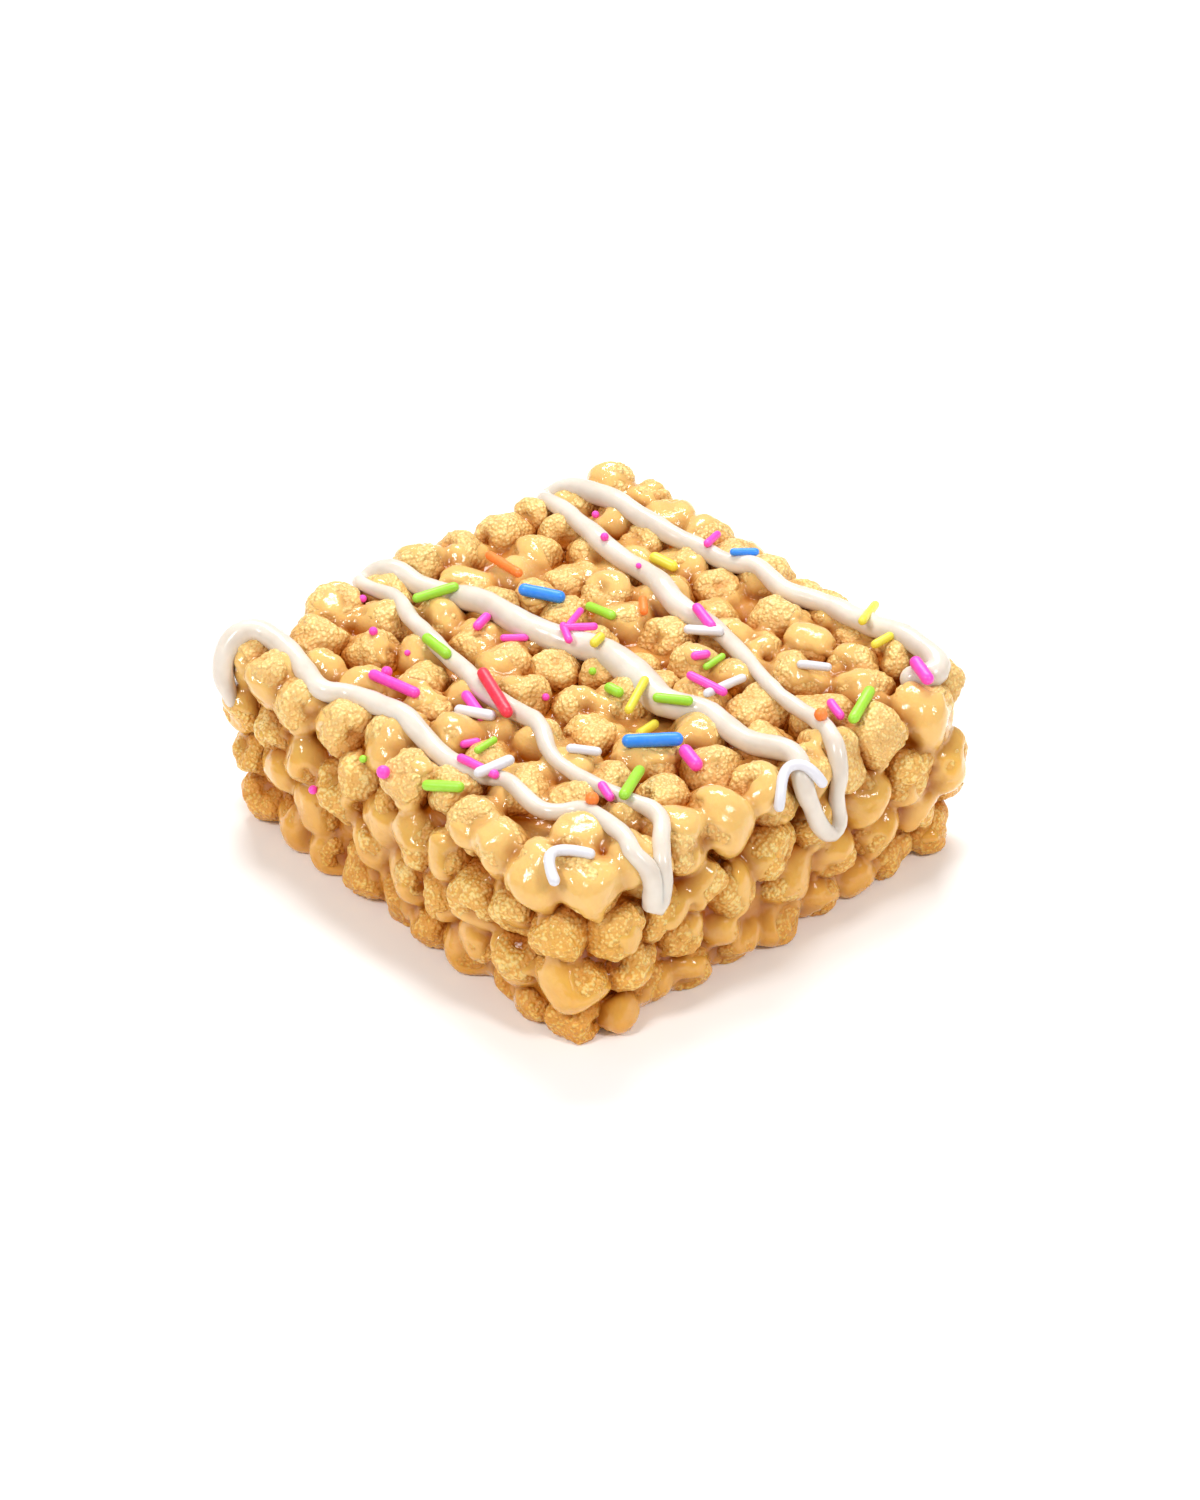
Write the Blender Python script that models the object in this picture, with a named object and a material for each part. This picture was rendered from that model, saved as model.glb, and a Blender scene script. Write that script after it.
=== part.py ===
"""A square protein puff bar: puffed cereal bound with caramel, drizzled with icing and strewn with sprinkles.

The bar is one solid. A plain core stands for the caramel, and every puff that shows is fused onto it at its
true size, with the icing and the sprinkles on top. The frame is +Z up, with the origin at the middle of the
flat underside: +X runs along the strands of icing and +Y across them.
"""

import math

import bmesh
import bpy
import numpy as np
from mathutils import Vector
from mathutils.bvhtree import BVHTree

MM = 0.001

# The bar's outer sizes, in millimetres like every length below
BAR_LENGTH = 63.6
BAR_WIDTH = 61.6
BAR_HEIGHT = 22.4
CORNER_RADIUS = 6.5
EDGE_RADIUS = 4.0
TOP_DRAW_IN = 0.5
BASE_DRAW_IN = 1.2

# The puffs: short rounded cylinders of extruded crisp
PUFF_ROWS = (11, 10, 4)
PUFF_RADIUS = 3.1
PUFF_RADIUS_SPREAD = 0.32
PUFF_RADIUS_RANGE = (2.3, 3.7)
PUFF_LENGTH_SHARE = (0.84, 1.10)
PUFF_ROUNDING = 0.42
PUFF_SIDES = 7
# Flat sides are set out this much, so that a low solid keeps a round one's size
FLAT_SIDE_SHARE = 1.05
CHAMFER_SHARE = 0.75
PACK_SEED = 8
PACK_ROUNDS = 120
PACK_PUSH = 0.40
PACK_SPREAD = 1.06
START_JITTER = 0.42
SURFACE_JITTER = 0.5
SHOWN_DEPTH = 1.6
BASE_SINK = 0.25

# The solid's triangles once everything is fused, and how often a fold left by simplifying is smoothed
SOLID_TRIANGLES = 11800
FOLD_ROUNDS = 12
FLAT_WITHIN = 0.00004

# The caramel core that the puffs stand out of
CORE_INSET = 2.3
CORE_CORNER_STEPS = 3
CORE_BASE_LIFT = 0.5

# The icing: one strand piped to and fro, in plan coordinates that run on down the sides past an edge
STRAND_STEP = 2.6
STRAND_SIDES = 6
STRAND_SINK = 0.45
STRAND_SAG = 0.05
STRAND_BRIDGE_ROUNDS = 6
DRAPE_REACH = 3.0
DRAPE_DEEPEST = 2.4
# How far every plan place below moves, because it is read at the height of the puffs' tops
READ_SHIFT = (0.7, -0.6)
# Each row is x, y and the strand's thickness
STRAND_ROUTE = (
    (-28.0, -34.4, 1.5), (-29.2, -30.0, 2.2), (-28.0, -25.4, 2.4), (-22.0, -24.8, 2.2),
    (-15.5, -26.3, 2.0), (-12.0, -24.2, 2.1), (-5.0, -23.4, 2.2), (4.0, -23.4, 2.0),
    (10.4, -22.0, 1.7), (17.0, -22.0, 1.7), (20.8, -19.2, 1.6), (26.5, -19.4, 1.7),
    (29.0, -20.1, 1.7), (31.0, -19.3, 1.9), (33.2, -19.1, 1.9), (34.9, -19.3, 2.2),
    (35.2, -18.4, 2.2), (33.4, -18.0, 1.8), (31.2, -17.5, 1.8), (29.2, -16.2, 1.7),
    (26.0, -13.9, 1.7), (21.0, -15.0, 1.5), (11.8, -15.6, 1.5),
    (5.6, -13.4, 1.8), (-3.2, -13.4, 1.9), (-9.0, -12.2, 1.8), (-17.5, -11.2, 1.7),
    (-23.5, -9.5, 1.5), (-29.0, -9.9, 1.5), (-32.0, -8.2, 1.7), (-30.0, -5.8, 2.2),
    (-24.0, -4.2, 2.3), (-17.0, -2.3, 2.5), (-9.0, -1.8, 2.6), (-2.0, 1.0, 2.9),
    (5.0, 1.4, 3.2), (10.5, 0.7, 3.0), (15.0, 3.0, 2.3), (21.5, 2.6, 2.3),
    (27.0, 4.0, 2.2), (31.2, 2.9, 1.9), (34.6, 3.8, 1.7), (37.5, 5.2, 1.7),
    (38.6, 6.6, 1.8), (37.4, 7.8, 1.8), (34.4, 7.6, 1.6), (31.0, 8.2, 1.7),
    (25.0, 10.2, 1.7), (17.5, 10.5, 1.5), (11.0, 12.6, 1.7), (4.0, 14.2, 1.9),
    (-2.5, 14.0, 2.4), (-9.5, 15.6, 2.2), (-17.0, 15.7, 2.2), (-25.0, 17.2, 1.8),
    (-30.0, 17.9, 1.6), (-31.8, 19.4, 1.7), (-29.5, 21.2, 1.9), (-24.5, 22.0, 2.2),
    (-17.0, 22.6, 2.1), (-9.5, 24.0, 2.0), (-5.5, 24.4, 2.0), (-2.0, 25.8, 2.0),
    (3.0, 25.5, 2.0), (9.0, 27.1, 2.2), (17.0, 27.9, 2.3), (22.2, 28.1, 2.3),
    (25.4, 27.6, 2.4), (26.2, 26.2, 2.6), (24.9, 24.4, 2.5),
)

# The sprinkles: for each colour, each rod's x, y, heading in degrees, length and thickness
ROD_SIDES = 6
ROD_SINK = 0.42
ROD_STEEPEST = 0.12
PEARL_SINK = 0.40
SPRINKLE_RODS = {
    "pink": (
        (-8.6, 25.0, -67, 3.6, 0.9), (2.9, 13.4, -14, 4.5, 1.2), (7.7, 8.6, 67, 2.3, 1.0),
        (12.6, 5.1, 15, 5.2, 1.0), (-5.9, 1.9, -60, 4.8, 0.8), (-4.0, 1.1, 63, 4.1, 0.9),
        (-4.1, -0.8, -26, 3.3, 0.9), (-13.7, -5.0, -71, 2.9, 1.1), (-9.2, -4.0, 43, 3.2, 0.8),
        (-10.2, -20.2, 9, 7.3, 1.25), (-2.1, -15.6, -14, 5.0, 1.2), (1.8, -19.3, 65, 2.3, 0.9),
        (7.8, -23.1, 8, 5.8, 1.0), (20.4, -16.1, -15, 2.9, 1.0), (20.4, -4.2, -14, 3.9, 1.5),
        (24.2, 13.4, -17, 3.2, 1.0), (26.3, 24.2, -19, 4.1, 1.45),
    ),
    "green": (
        (-20.9, -5.8, 70, 5.5, 1.15), (-12.1, -12.7, -3, 4.8, 1.25), (-7.2, 6.9, 4, 4.5, 1.1),
        (6.3, -2.8, 12, 2.4, 1.2), (12.4, 0.3, 38, 4.5, 1.1), (8.7, 9.7, -89, 3.2, 0.8),
        (5.3, -20.0, -83, 3.3, 0.8), (6.6, -27.1, 36, 5.0, 1.2), (21.5, -13.5, -58, 6.6, 1.2),
        (26.1, 15.4, -65, 5.9, 1.25),
    ),
    "blue": (
        (-13.4, 3.5, 39, 5.4, 1.45), (16.4, -6.1, 55, 6.6, 1.5), (-3.9, 25.7, 57, 3.4, 0.9),
    ),
    "yellow": (
        (-10.3, 19.1, 16, 3.7, 1.3), (-0.3, 0.5, -77, 2.2, 1.1), (9.5, -2.3, -61, 6.0, 1.0),
        (11.5, -2.5, -84, 3.3, 1.1), (14.0, 27.8, -54, 7.0, 1.0), (18.8, 25.6, 86, 3.0, 1.0),
    ),
    "orange": (
        (-21.0, 4.2, -2, 6.4, 1.1), (-4.5, 10.9, -38, 3.1, 1.0),
    ),
    "red": (
        (-0.4, -14.0, -17, 8.0, 1.4),
    ),
    "white": (
        (17.4, 16.6, 48, 3.9, 1.0), (4.2, 12.2, 33, 4.6, 1.1), (13.4, 7.0, -86, 6.4, 1.0),
        (-0.8, -16.5, 25, 5.0, 1.2), (9.4, -22.2, 82, 4.9, 1.2), (13.2, -13.0, 47, 3.8, 1.0),
        (25.4, -27.4, -44, 4.2, 1.1), (25.4, -25.0, 50, 4.4, 1.1), (30.2, 0.2, -46, 4.7, 1.1),
        (30.1, 2.9, 48, 4.4, 1.1),
    ),
}
# The pearls: x, y and diameter
SPRINKLE_PEARLS = {
    "pink": (
        (-27.0, -11.5, 0.9), (-19.5, -15.8, 1.0), (-15.0, -14.6, 0.7),
        (0.7, -7.8, 0.8), (-23.1, 19.8, 0.9), (-16.3, 15.3, 1.0),
        (-9.8, 14.8, 0.7), (0.6, -29.7, 1.5), (-11.6, -38.0, 1.0),
        (-13.2, -18.9, 1.3),
    ),
    "green": (
        (1.3, -1.6, 0.9), (-5.7, -31.2, 0.9),
    ),
    "orange": (
        (25.6, 9.8, 1.5), (21.1, -18.6, 1.5),
    ),
}


def clear_scene():
    """Removes every object of the scene that the file starts in."""
    for thing in list(bpy.data.objects):
        bpy.data.objects.remove(thing, do_unlink=True)


def link(name, mesh, collection):
    """A new object for a mesh, linked into a collection."""
    thing = bpy.data.objects.new(name, mesh)
    collection.objects.link(thing)
    return thing


def solid_mesh(name, points, faces):
    """A triangulated mesh in metres, turned outwards, from points in millimetres."""
    build = bmesh.new()
    corners = [build.verts.new(Vector(point) * MM) for point in points]
    for face in faces:
        build.faces.new([corners[index] for index in face])
    bmesh.ops.recalc_face_normals(build, faces=build.faces)
    bmesh.ops.triangulate(build, faces=build.faces)
    mesh = bpy.data.meshes.new(name)
    build.to_mesh(mesh)
    build.free()
    return mesh


def ring_faces(ring_count, sides):
    """Faces of a tube of rings that follow one another, with a cap at each end."""
    faces = []
    for ring in range(ring_count - 1):
        for side in range(sides):
            turn = (side + 1) % sides
            low = ring * sides
            faces.append((low + side, low + turn, low + sides + turn, low + sides + side))
    faces.append(tuple(range(sides)))
    faces.append(tuple((ring_count - 1) * sides + side for side in range(sides)))
    return faces


def square_axes(axis):
    """Two directions square to an axis and to each other."""
    helper = np.array([0.0, 0.0, 1.0]) if abs(axis[2]) < 0.9 else np.array([1.0, 0.0, 0.0])
    first = np.cross(axis, helper)
    first /= np.linalg.norm(first)
    return first, np.cross(axis, first)


def hold_in_bar(centres, radii):
    """Moves centres back inside the bar, so that a puff at its side just reaches its outline."""
    half_depth = BAR_HEIGHT / 2 - radii
    rise = np.clip((centres[:, 2] - BAR_HEIGHT / 2) / half_depth, -1, 1)
    draw_in = rise**2 * np.where(rise > 0, TOP_DRAW_IN, BASE_DRAW_IN)
    rounding = np.maximum(CORNER_RADIUS - radii, 0.5)
    room = np.array([BAR_LENGTH, BAR_WIDTH]) / 2 - (radii + draw_in + rounding)[:, None]
    inner = np.clip(centres[:, :2], -room, room)
    beyond = centres[:, :2] - inner
    reach = np.maximum(np.linalg.norm(beyond, axis=1), 1e-9)
    flat = inner + beyond * np.minimum(1, rounding / reach)[:, None]
    height = np.clip(centres[:, 2], radii * (1 - BASE_SINK), BAR_HEIGHT - radii)
    return np.column_stack([flat, height])


def pack_puffs():
    """Puffs pressed together in the bar's tin, as centres, radii, half lengths and axes."""
    draw = np.random.default_rng(PACK_SEED)
    cells = np.array(list(np.ndindex(PUFF_ROWS)))
    count = len(cells)
    radii = np.clip(draw.normal(PUFF_RADIUS, PUFF_RADIUS_SPREAD, count), *PUFF_RADIUS_RANGE)
    half_lengths = radii * draw.uniform(*PUFF_LENGTH_SHARE, count)
    axes = draw.normal(size=(count, 3))
    axes /= np.linalg.norm(axes, axis=1)[:, None]
    stagger = np.column_stack([cells[:, 1] + cells[:, 2], cells[:, 2], np.zeros(count)]) % 2 * 0.5 - 0.25
    places = cells + 0.5 + stagger * (1, 1, 0) + draw.uniform(-START_JITTER, START_JITTER, (count, 3))
    centres = (places / PUFF_ROWS - 0.5) * (BAR_LENGTH, BAR_WIDTH, BAR_HEIGHT) + (0, 0, BAR_HEIGHT / 2)
    reach = (radii[:, None] + radii[None, :]) * PACK_SPREAD
    for _ in range(PACK_ROUNDS):
        centres = hold_in_bar(centres, radii)
        apart = centres[:, None, :] - centres[None, :, :]
        distance = np.linalg.norm(apart, axis=2) + np.eye(count) * 1e3
        overlap = np.maximum(reach - distance, 0)
        centres = centres + PACK_PUSH * (apart * (overlap / distance)[:, :, None]).sum(axis=1) / 2
    centres = hold_in_bar(centres, radii)
    shift = draw.uniform(-SURFACE_JITTER, SURFACE_JITTER, (count, 3))
    shift[:, 2] *= centres[:, 2] > BAR_HEIGHT / 2
    centres = centres + shift
    depth = np.minimum.reduce([
        BAR_LENGTH / 2 - np.abs(centres[:, 0]),
        BAR_WIDTH / 2 - np.abs(centres[:, 1]),
        BAR_HEIGHT - centres[:, 2],
        centres[:, 2] + 1.0,
    ])
    shown = depth < radii * SHOWN_DEPTH
    return centres[shown], radii[shown], half_lengths[shown], axes[shown]


def puff_mesh(centre, radius, half_length, axis):
    """One puff as a cylinder with chamfered ends."""
    first, second = square_axes(axis)
    chamfer = radius * PUFF_ROUNDING * CHAMFER_SHARE
    profile = (
        (-half_length, radius - chamfer),
        (chamfer - half_length, radius),
        (half_length - chamfer, radius),
        (half_length, radius - chamfer),
    )
    points = []
    for along, reach in profile:
        for side in range(PUFF_SIDES):
            turn = 2 * math.pi * side / PUFF_SIDES
            around = first * math.cos(turn) + second * math.sin(turn)
            points.append(centre + axis * along + around * reach * FLAT_SIDE_SHARE)
    return solid_mesh("puff", points, ring_faces(len(profile), PUFF_SIDES))


def core_outline(inset):
    """The core's plan outline at an inset from the bar's own, as points in order."""
    radius = max(CORNER_RADIUS - inset, 1.0)
    points = []
    for quarter in range(4):
        sign_x = (1, -1, -1, 1)[quarter]
        sign_y = (1, 1, -1, -1)[quarter]
        centre_x = sign_x * (BAR_LENGTH / 2 - inset - radius)
        centre_y = sign_y * (BAR_WIDTH / 2 - inset - radius)
        for step in range(CORE_CORNER_STEPS + 1):
            turn = math.pi / 2 * (quarter + step / CORE_CORNER_STEPS)
            points.append((centre_x + radius * math.cos(turn), centre_y + radius * math.sin(turn)))
    return points


def core_mesh():
    """The caramel core: a slab with rounded corners, its top and bottom edges eased."""
    levels = (
        (CORE_BASE_LIFT, CORE_INSET + BASE_DRAW_IN + 0.8),
        (CORE_BASE_LIFT + 3.0, CORE_INSET + 0.6),
        (BAR_HEIGHT - CORE_INSET - 2.0, CORE_INSET),
        (BAR_HEIGHT - CORE_INSET, CORE_INSET + 2.0),
    )
    points = []
    for height, inset in levels:
        outline = core_outline(inset)
        points += [(x, y, height) for x, y in outline]
    return solid_mesh("core", points, ring_faces(len(levels), len(outline)))


def puff_distance(points, puffs):
    """How far each point is from the nearest puff's surface, negative inside."""
    centres, radii, half_lengths, axes = puffs
    away = points[:, None, :] - centres[None, :, :]
    along = np.einsum("pni,ni->pn", away, axes)
    across = np.linalg.norm(away - along[:, :, None] * axes[None, :, :], axis=2)
    rounding = radii * PUFF_ROUNDING
    side = across - (radii - rounding)
    end = np.abs(along) - (half_lengths - rounding)
    outside = np.hypot(np.maximum(side, 0), np.maximum(end, 0))
    return (outside + np.minimum(np.maximum(side, end), 0) - rounding).min(axis=1)


def drape_frame(x, y):
    """Where a plan coordinate lies on the bar's smooth outline, as a point and the outward direction."""
    rounding = CORNER_RADIUS - EDGE_RADIUS
    room = np.array([BAR_LENGTH, BAR_WIDTH]) / 2 - CORNER_RADIUS
    plan = np.array([x, y]) + READ_SHIFT
    inner = np.clip(plan, -room, room)
    beyond = plan - inner
    reach = np.linalg.norm(beyond)
    if reach <= rounding:
        return np.array([*plan, BAR_HEIGHT]), np.array([0.0, 0.0, 1.0])
    outward = beyond / reach
    travel = reach - rounding
    turn = min(travel / EDGE_RADIUS, math.pi / 2)
    drop = max(travel - EDGE_RADIUS * math.pi / 2, 0)
    flat = inner + outward * (rounding + EDGE_RADIUS * math.sin(turn))
    height = BAR_HEIGHT - EDGE_RADIUS * (1 - math.cos(turn)) - drop
    normal = np.array([*(outward * math.sin(turn)), math.cos(turn)])
    return np.array([*flat, height]), normal


def cast_down(starts, normals, distance):
    """How high the relief stands over the smooth outline where each inward ray meets it."""
    travel = np.full(len(starts), DRAPE_REACH)
    for _ in range(24):
        travel = travel - np.maximum(distance(starts + normals * travel[:, None]), 0) * 0.9
    return np.maximum(travel, -DRAPE_DEEPEST)


def smooth_route():
    """The icing's route in plan coordinates at even steps along a smooth curve, with its thickness."""
    knots = np.array(STRAND_ROUTE)
    knots = np.vstack([2 * knots[0] - knots[1], knots, 2 * knots[-1] - knots[-2]])
    fine = []
    for index in range(1, len(knots) - 2):
        before, here, there, after = knots[index - 1:index + 3]
        for share in np.arange(0, 1, 0.1):
            fine.append(0.5 * (
                2 * here + (there - before) * share
                + (2 * before - 5 * here + 4 * there - after) * share**2
                + (3 * here - before - 3 * there + after) * share**3
            ))
    fine = np.array(fine + [knots[-2]])
    travelled = np.concatenate([[0], np.cumsum(np.linalg.norm(np.diff(fine[:, :2], axis=0), axis=1))])
    stops = np.linspace(0, travelled[-1], int(travelled[-1] / STRAND_STEP) + 1)
    return np.column_stack([np.interp(stops, travelled, fine[:, column]) for column in range(3)])


def drape_strand(puffs):
    """The icing's strand laid over the relief: its middle line and its thickness along it."""
    route = smooth_route()
    frames = [drape_frame(x, y) for x, y, _ in route]
    starts = np.array([point for point, _ in frames])
    normals = np.array([normal for _, normal in frames])
    height = cast_down(starts, normals, lambda points: puff_distance(points, puffs))
    for _ in range(STRAND_BRIDGE_ROUNDS):
        between = (height[:-2] + height[2:]) / 2 - STRAND_SAG
        height[1:-1] = np.maximum(height[1:-1], between)
    lift = height + route[:, 2] * (0.5 - STRAND_SINK)
    return starts + normals * lift[:, None], route[:, 2]


def tube_mesh(name, line, thickness, sides):
    """A tube along a line of points, closed by a blunt tip at each end."""
    heading = np.gradient(line, axis=0)
    heading /= np.linalg.norm(heading, axis=1)[:, None]
    tips = heading[[0, -1]] * thickness[[0, -1], None] * 0.35
    line = np.vstack([line[0] - tips[0], line, line[-1] + tips[1]])
    heading = np.vstack([heading[0], heading, heading[-1]])
    reach = np.concatenate([[thickness[0] * 0.3], thickness / 2, [thickness[-1] * 0.3]])
    first, _ = square_axes(heading[0])
    points = []
    for place, forward, size in zip(line, heading, reach):
        first = first - forward * first.dot(forward)
        first /= np.linalg.norm(first)
        second = np.cross(forward, first)
        for side in range(sides):
            turn = 2 * math.pi * side / sides
            around = first * math.cos(turn) + second * math.sin(turn)
            points.append(place + around * size * FLAT_SIDE_SHARE)
    return solid_mesh(name, points, ring_faces(len(line), sides))


def strand_distance(points, line, thickness):
    """How far each point is from the icing's surface, taking the strand as balls along its line."""
    steps = np.linspace(0, len(line) - 1, len(line) * 4)
    index = np.arange(len(line))
    fine = np.column_stack([np.interp(steps, index, line[:, axis]) for axis in range(3)])
    size = np.interp(steps, index, thickness) / 2
    return (np.linalg.norm(points[:, None, :] - fine[None], axis=2) - size).min(axis=1)


def rod_line(rod, thickness, distance):
    """The ends of a sprinkle that lies on the relief, seated on the highest parts under it."""
    x, y, heading, length = rod
    reach = (length - thickness) / 2
    turn = math.radians(heading)
    shares = np.array([-1.0, -0.5, 0.0, 0.5, 1.0])
    stops = zip(x + math.cos(turn) * reach * shares, y + math.sin(turn) * reach * shares)
    frames = [drape_frame(*stop) for stop in stops]
    starts = np.array([point for point, _ in frames])
    normals = np.array([normal for _, normal in frames])
    height = cast_down(starts, normals, distance)
    slope = (height[3:].max() - height[:2].max()) / max(2 * reach, 1e-6)
    slope = np.clip(slope, -ROD_STEEPEST, ROD_STEEPEST)
    level = (height - slope * shares * reach).max()
    lift = level + slope * shares * reach + thickness * (0.5 - ROD_SINK)
    laid = starts + normals * lift[:, None]
    return laid[[0, -1]]


def rod_mesh(ends, thickness):
    """One sprinkle: a small rod with rounded ends."""
    axis = ends[1] - ends[0]
    axis /= np.linalg.norm(axis)
    first, second = square_axes(axis)
    points = []
    for place, size in ((ends[0] - axis * thickness * 0.42, 0.26), (ends[0], 0.5), (ends[1], 0.5),
                        (ends[1] + axis * thickness * 0.42, 0.26)):
        for side in range(ROD_SIDES):
            turn = 2 * math.pi * side / ROD_SIDES
            points.append(place + (first * math.cos(turn) + second * math.sin(turn)) * thickness * size)
    return solid_mesh("rod", points, ring_faces(4, ROD_SIDES))


def pearl_mesh(centre, size):
    """One round sprinkle, as three short rings."""
    points = []
    for rise, reach in ((-0.45, 0.22), (0.0, 0.5), (0.45, 0.22)):
        for side in range(ROD_SIDES):
            turn = 2 * math.pi * side / ROD_SIDES
            points.append(centre + np.array([math.cos(turn) * reach, math.sin(turn) * reach, rise]) * size)
    return solid_mesh("pearl", points, ring_faces(3, ROD_SIDES))


def add_sprinkles(distance, collection):
    """Every rod and pearl, seated on what lies under it."""
    for rods in SPRINKLE_RODS.values():
        for *rod, thickness in rods:
            link("rod", rod_mesh(rod_line(rod, thickness, distance), thickness), collection)
    for pearls in SPRINKLE_PEARLS.values():
        for x, y, size in pearls:
            point, normal = drape_frame(x, y)
            height = cast_down(point[None], normal[None], distance)[0]
            centre = point + normal * (height + size * (0.5 - PEARL_SINK))
            link("pearl", pearl_mesh(centre, size), collection)


def fuse(body, collection):
    """Joins the collection's pieces to the body with one Boolean union, then removes the collection."""
    joint = body.modifiers.new("fuse", "BOOLEAN")
    joint.operation = "UNION"
    joint.operand_type = "COLLECTION"
    joint.collection = collection
    joint.solver = "MANIFOLD"
    evaluated = body.evaluated_get(bpy.context.evaluated_depsgraph_get())
    mesh = bpy.data.meshes.new_from_object(evaluated)
    body.modifiers.clear()
    body.data = mesh
    for thing in list(collection.objects):
        bpy.data.objects.remove(thing, do_unlink=True)
    bpy.data.collections.remove(collection)


def islands(build):
    """The mesh's connected shells, each as a list of faces."""
    left = set(build.faces)
    shells = []
    while left:
        shell = [left.pop()]
        for face in shell:
            for edge in face.edges:
                for other in edge.link_faces:
                    if other in left:
                        left.remove(other)
                        shell.append(other)
        shells.append(shell)
    return shells


def keep_outer_shell(build):
    """Fills sealed hollows and drops scraps: only the largest shell stays."""
    shells = sorted(islands(build), key=len)
    for shell in shells[:-1]:
        bmesh.ops.delete(build, geom=shell, context="FACES")


def cut_flat(build):
    """Cuts the underside flat at the table and closes it."""
    geometry = list(build.verts) + list(build.edges) + list(build.faces)
    bmesh.ops.bisect_plane(
        build, geom=geometry, dist=1e-7, plane_co=(0, 0, 0), plane_no=(0, 0, -1), clear_outer=True
    )
    rim = [edge for edge in build.edges if edge.is_boundary]
    bmesh.ops.holes_fill(build, edges=rim, sides=0)
    bmesh.ops.triangulate(build, faces=build.faces)


def simplify(body):
    """Merges the slivers that the union leaves, down to the solid's budget of triangles."""
    thin = body.modifiers.new("thin", "DECIMATE")
    thin.ratio = SOLID_TRIANGLES / len(body.data.polygons)
    evaluated = body.evaluated_get(bpy.context.evaluated_depsgraph_get())
    mesh = bpy.data.meshes.new_from_object(evaluated)
    body.modifiers.clear()
    body.data = mesh


def stand_at_origin(build):
    """Sets the flat underside on the table and the middle of the outline over the origin."""
    low = [min(corner.co[axis] for corner in build.verts) for axis in range(3)]
    high = [max(corner.co[axis] for corner in build.verts) for axis in range(3)]
    shift = Vector(((low[0] + high[0]) / -2, (low[1] + high[1]) / -2, 0))
    for corner in build.verts:
        corner.co += shift
        if corner.co.z < FLAT_WITHIN:
            corner.co.z = 0


def folded_corners(build):
    """The corners of triangles that pass through one another without sharing a corner."""
    build.faces.ensure_lookup_table()
    tree = BVHTree.FromBMesh(build)
    folded = set()
    for first, second in tree.overlap(tree):
        corners = set(build.faces[first].verts)
        others = set(build.faces[second].verts)
        if first < second and not corners & others:
            folded |= corners | others
    return folded


def ease_folds(build):
    """Smooths the few places where merging slivers left a fold."""
    for _ in range(FOLD_ROUNDS):
        folded = folded_corners(build)
        if not folded:
            return
        axes = {"use_axis_x": True, "use_axis_y": True, "use_axis_z": True}
        bmesh.ops.smooth_vert(build, verts=list(folded), factor=0.5, **axes)


def main():
    """Builds the bar and leaves it as one object."""
    clear_scene()
    scene = bpy.context.scene.collection
    pieces = bpy.data.collections.new("pieces")
    scene.children.link(pieces)
    puffs = pack_puffs()
    for centre, radius, half_length, axis in zip(*puffs):
        link("puff", puff_mesh(centre, radius, half_length, axis), pieces)
    line, thickness = drape_strand(puffs)
    link("icing", tube_mesh("icing", line, thickness, STRAND_SIDES), pieces)

    def distance(points):
        return np.minimum(puff_distance(points, puffs), strand_distance(points, line, thickness))

    add_sprinkles(distance, pieces)
    bar = link("puff_bar", core_mesh(), scene)
    fuse(bar, pieces)
    build = bmesh.new()
    build.from_mesh(bar.data)
    keep_outer_shell(build)
    cut_flat(build)
    build.to_mesh(bar.data)
    build.free()
    simplify(bar)
    build = bmesh.new()
    build.from_mesh(bar.data)
    bmesh.ops.triangulate(build, faces=build.faces)
    stand_at_origin(build)
    ease_folds(build)
    build.to_mesh(bar.data)
    build.free()


main()
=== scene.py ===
"""Dresses the protein puff bar: toasted crisps in glossy caramel, iced and strewn with sugar sprinkles.

The layout rule is the one that the solid was built by, so every crisp, the icing and each sprinkle lie
where the solid has them. Lengths are in millimetres until a mesh is made, and in metres from there on.
"""

import logging
import math
from collections.abc import Callable
from dataclasses import dataclass
from enum import Enum
from typing import ClassVar

import bpy
import numpy as np
from mathutils import Matrix, Vector
from mathutils.bvhtree import BVHTree


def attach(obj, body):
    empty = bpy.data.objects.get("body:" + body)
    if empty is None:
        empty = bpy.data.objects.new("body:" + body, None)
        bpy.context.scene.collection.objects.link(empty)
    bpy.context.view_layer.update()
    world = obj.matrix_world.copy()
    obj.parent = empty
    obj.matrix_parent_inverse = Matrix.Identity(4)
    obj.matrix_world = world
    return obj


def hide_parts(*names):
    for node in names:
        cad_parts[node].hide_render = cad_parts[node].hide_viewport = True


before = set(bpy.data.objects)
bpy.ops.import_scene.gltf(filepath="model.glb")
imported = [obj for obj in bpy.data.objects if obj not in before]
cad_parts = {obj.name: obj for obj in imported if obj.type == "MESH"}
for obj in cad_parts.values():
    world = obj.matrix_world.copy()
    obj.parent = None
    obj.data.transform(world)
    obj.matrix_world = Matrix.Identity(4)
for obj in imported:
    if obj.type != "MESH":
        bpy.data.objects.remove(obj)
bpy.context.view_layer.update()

MM = 0.001
# Heights for the painted light: shade is painted on below the first, and a pale sheen fades in between the
# other two
SHADE_BELOW_MM = 10
SHEEN_FROM_MM = 14
SHEEN_FULL_MM = 23
LOG = logging.getLogger("puff_bar")


class CrispZone(Enum):
    """Where on the bar a crisp lies, because each zone's crisps make one piece."""

    TOP = "crisps_top"
    FRONT = "crisps_front_sides"
    BACK = "crisps_back_sides"
    BASE = "crisps_base"


class Sugar(Enum):
    """The sprinkles' colours, as sRGB hex values."""

    PINK = "FF38C0"
    GREEN = "9ADA12"
    BLUE = "0A8CFF"
    YELLOW = "EADA28"
    ORANGE = "FA7E06"
    RED = "F2003A"
    WHITE = "DCDAE0"


# Small helpers


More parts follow.
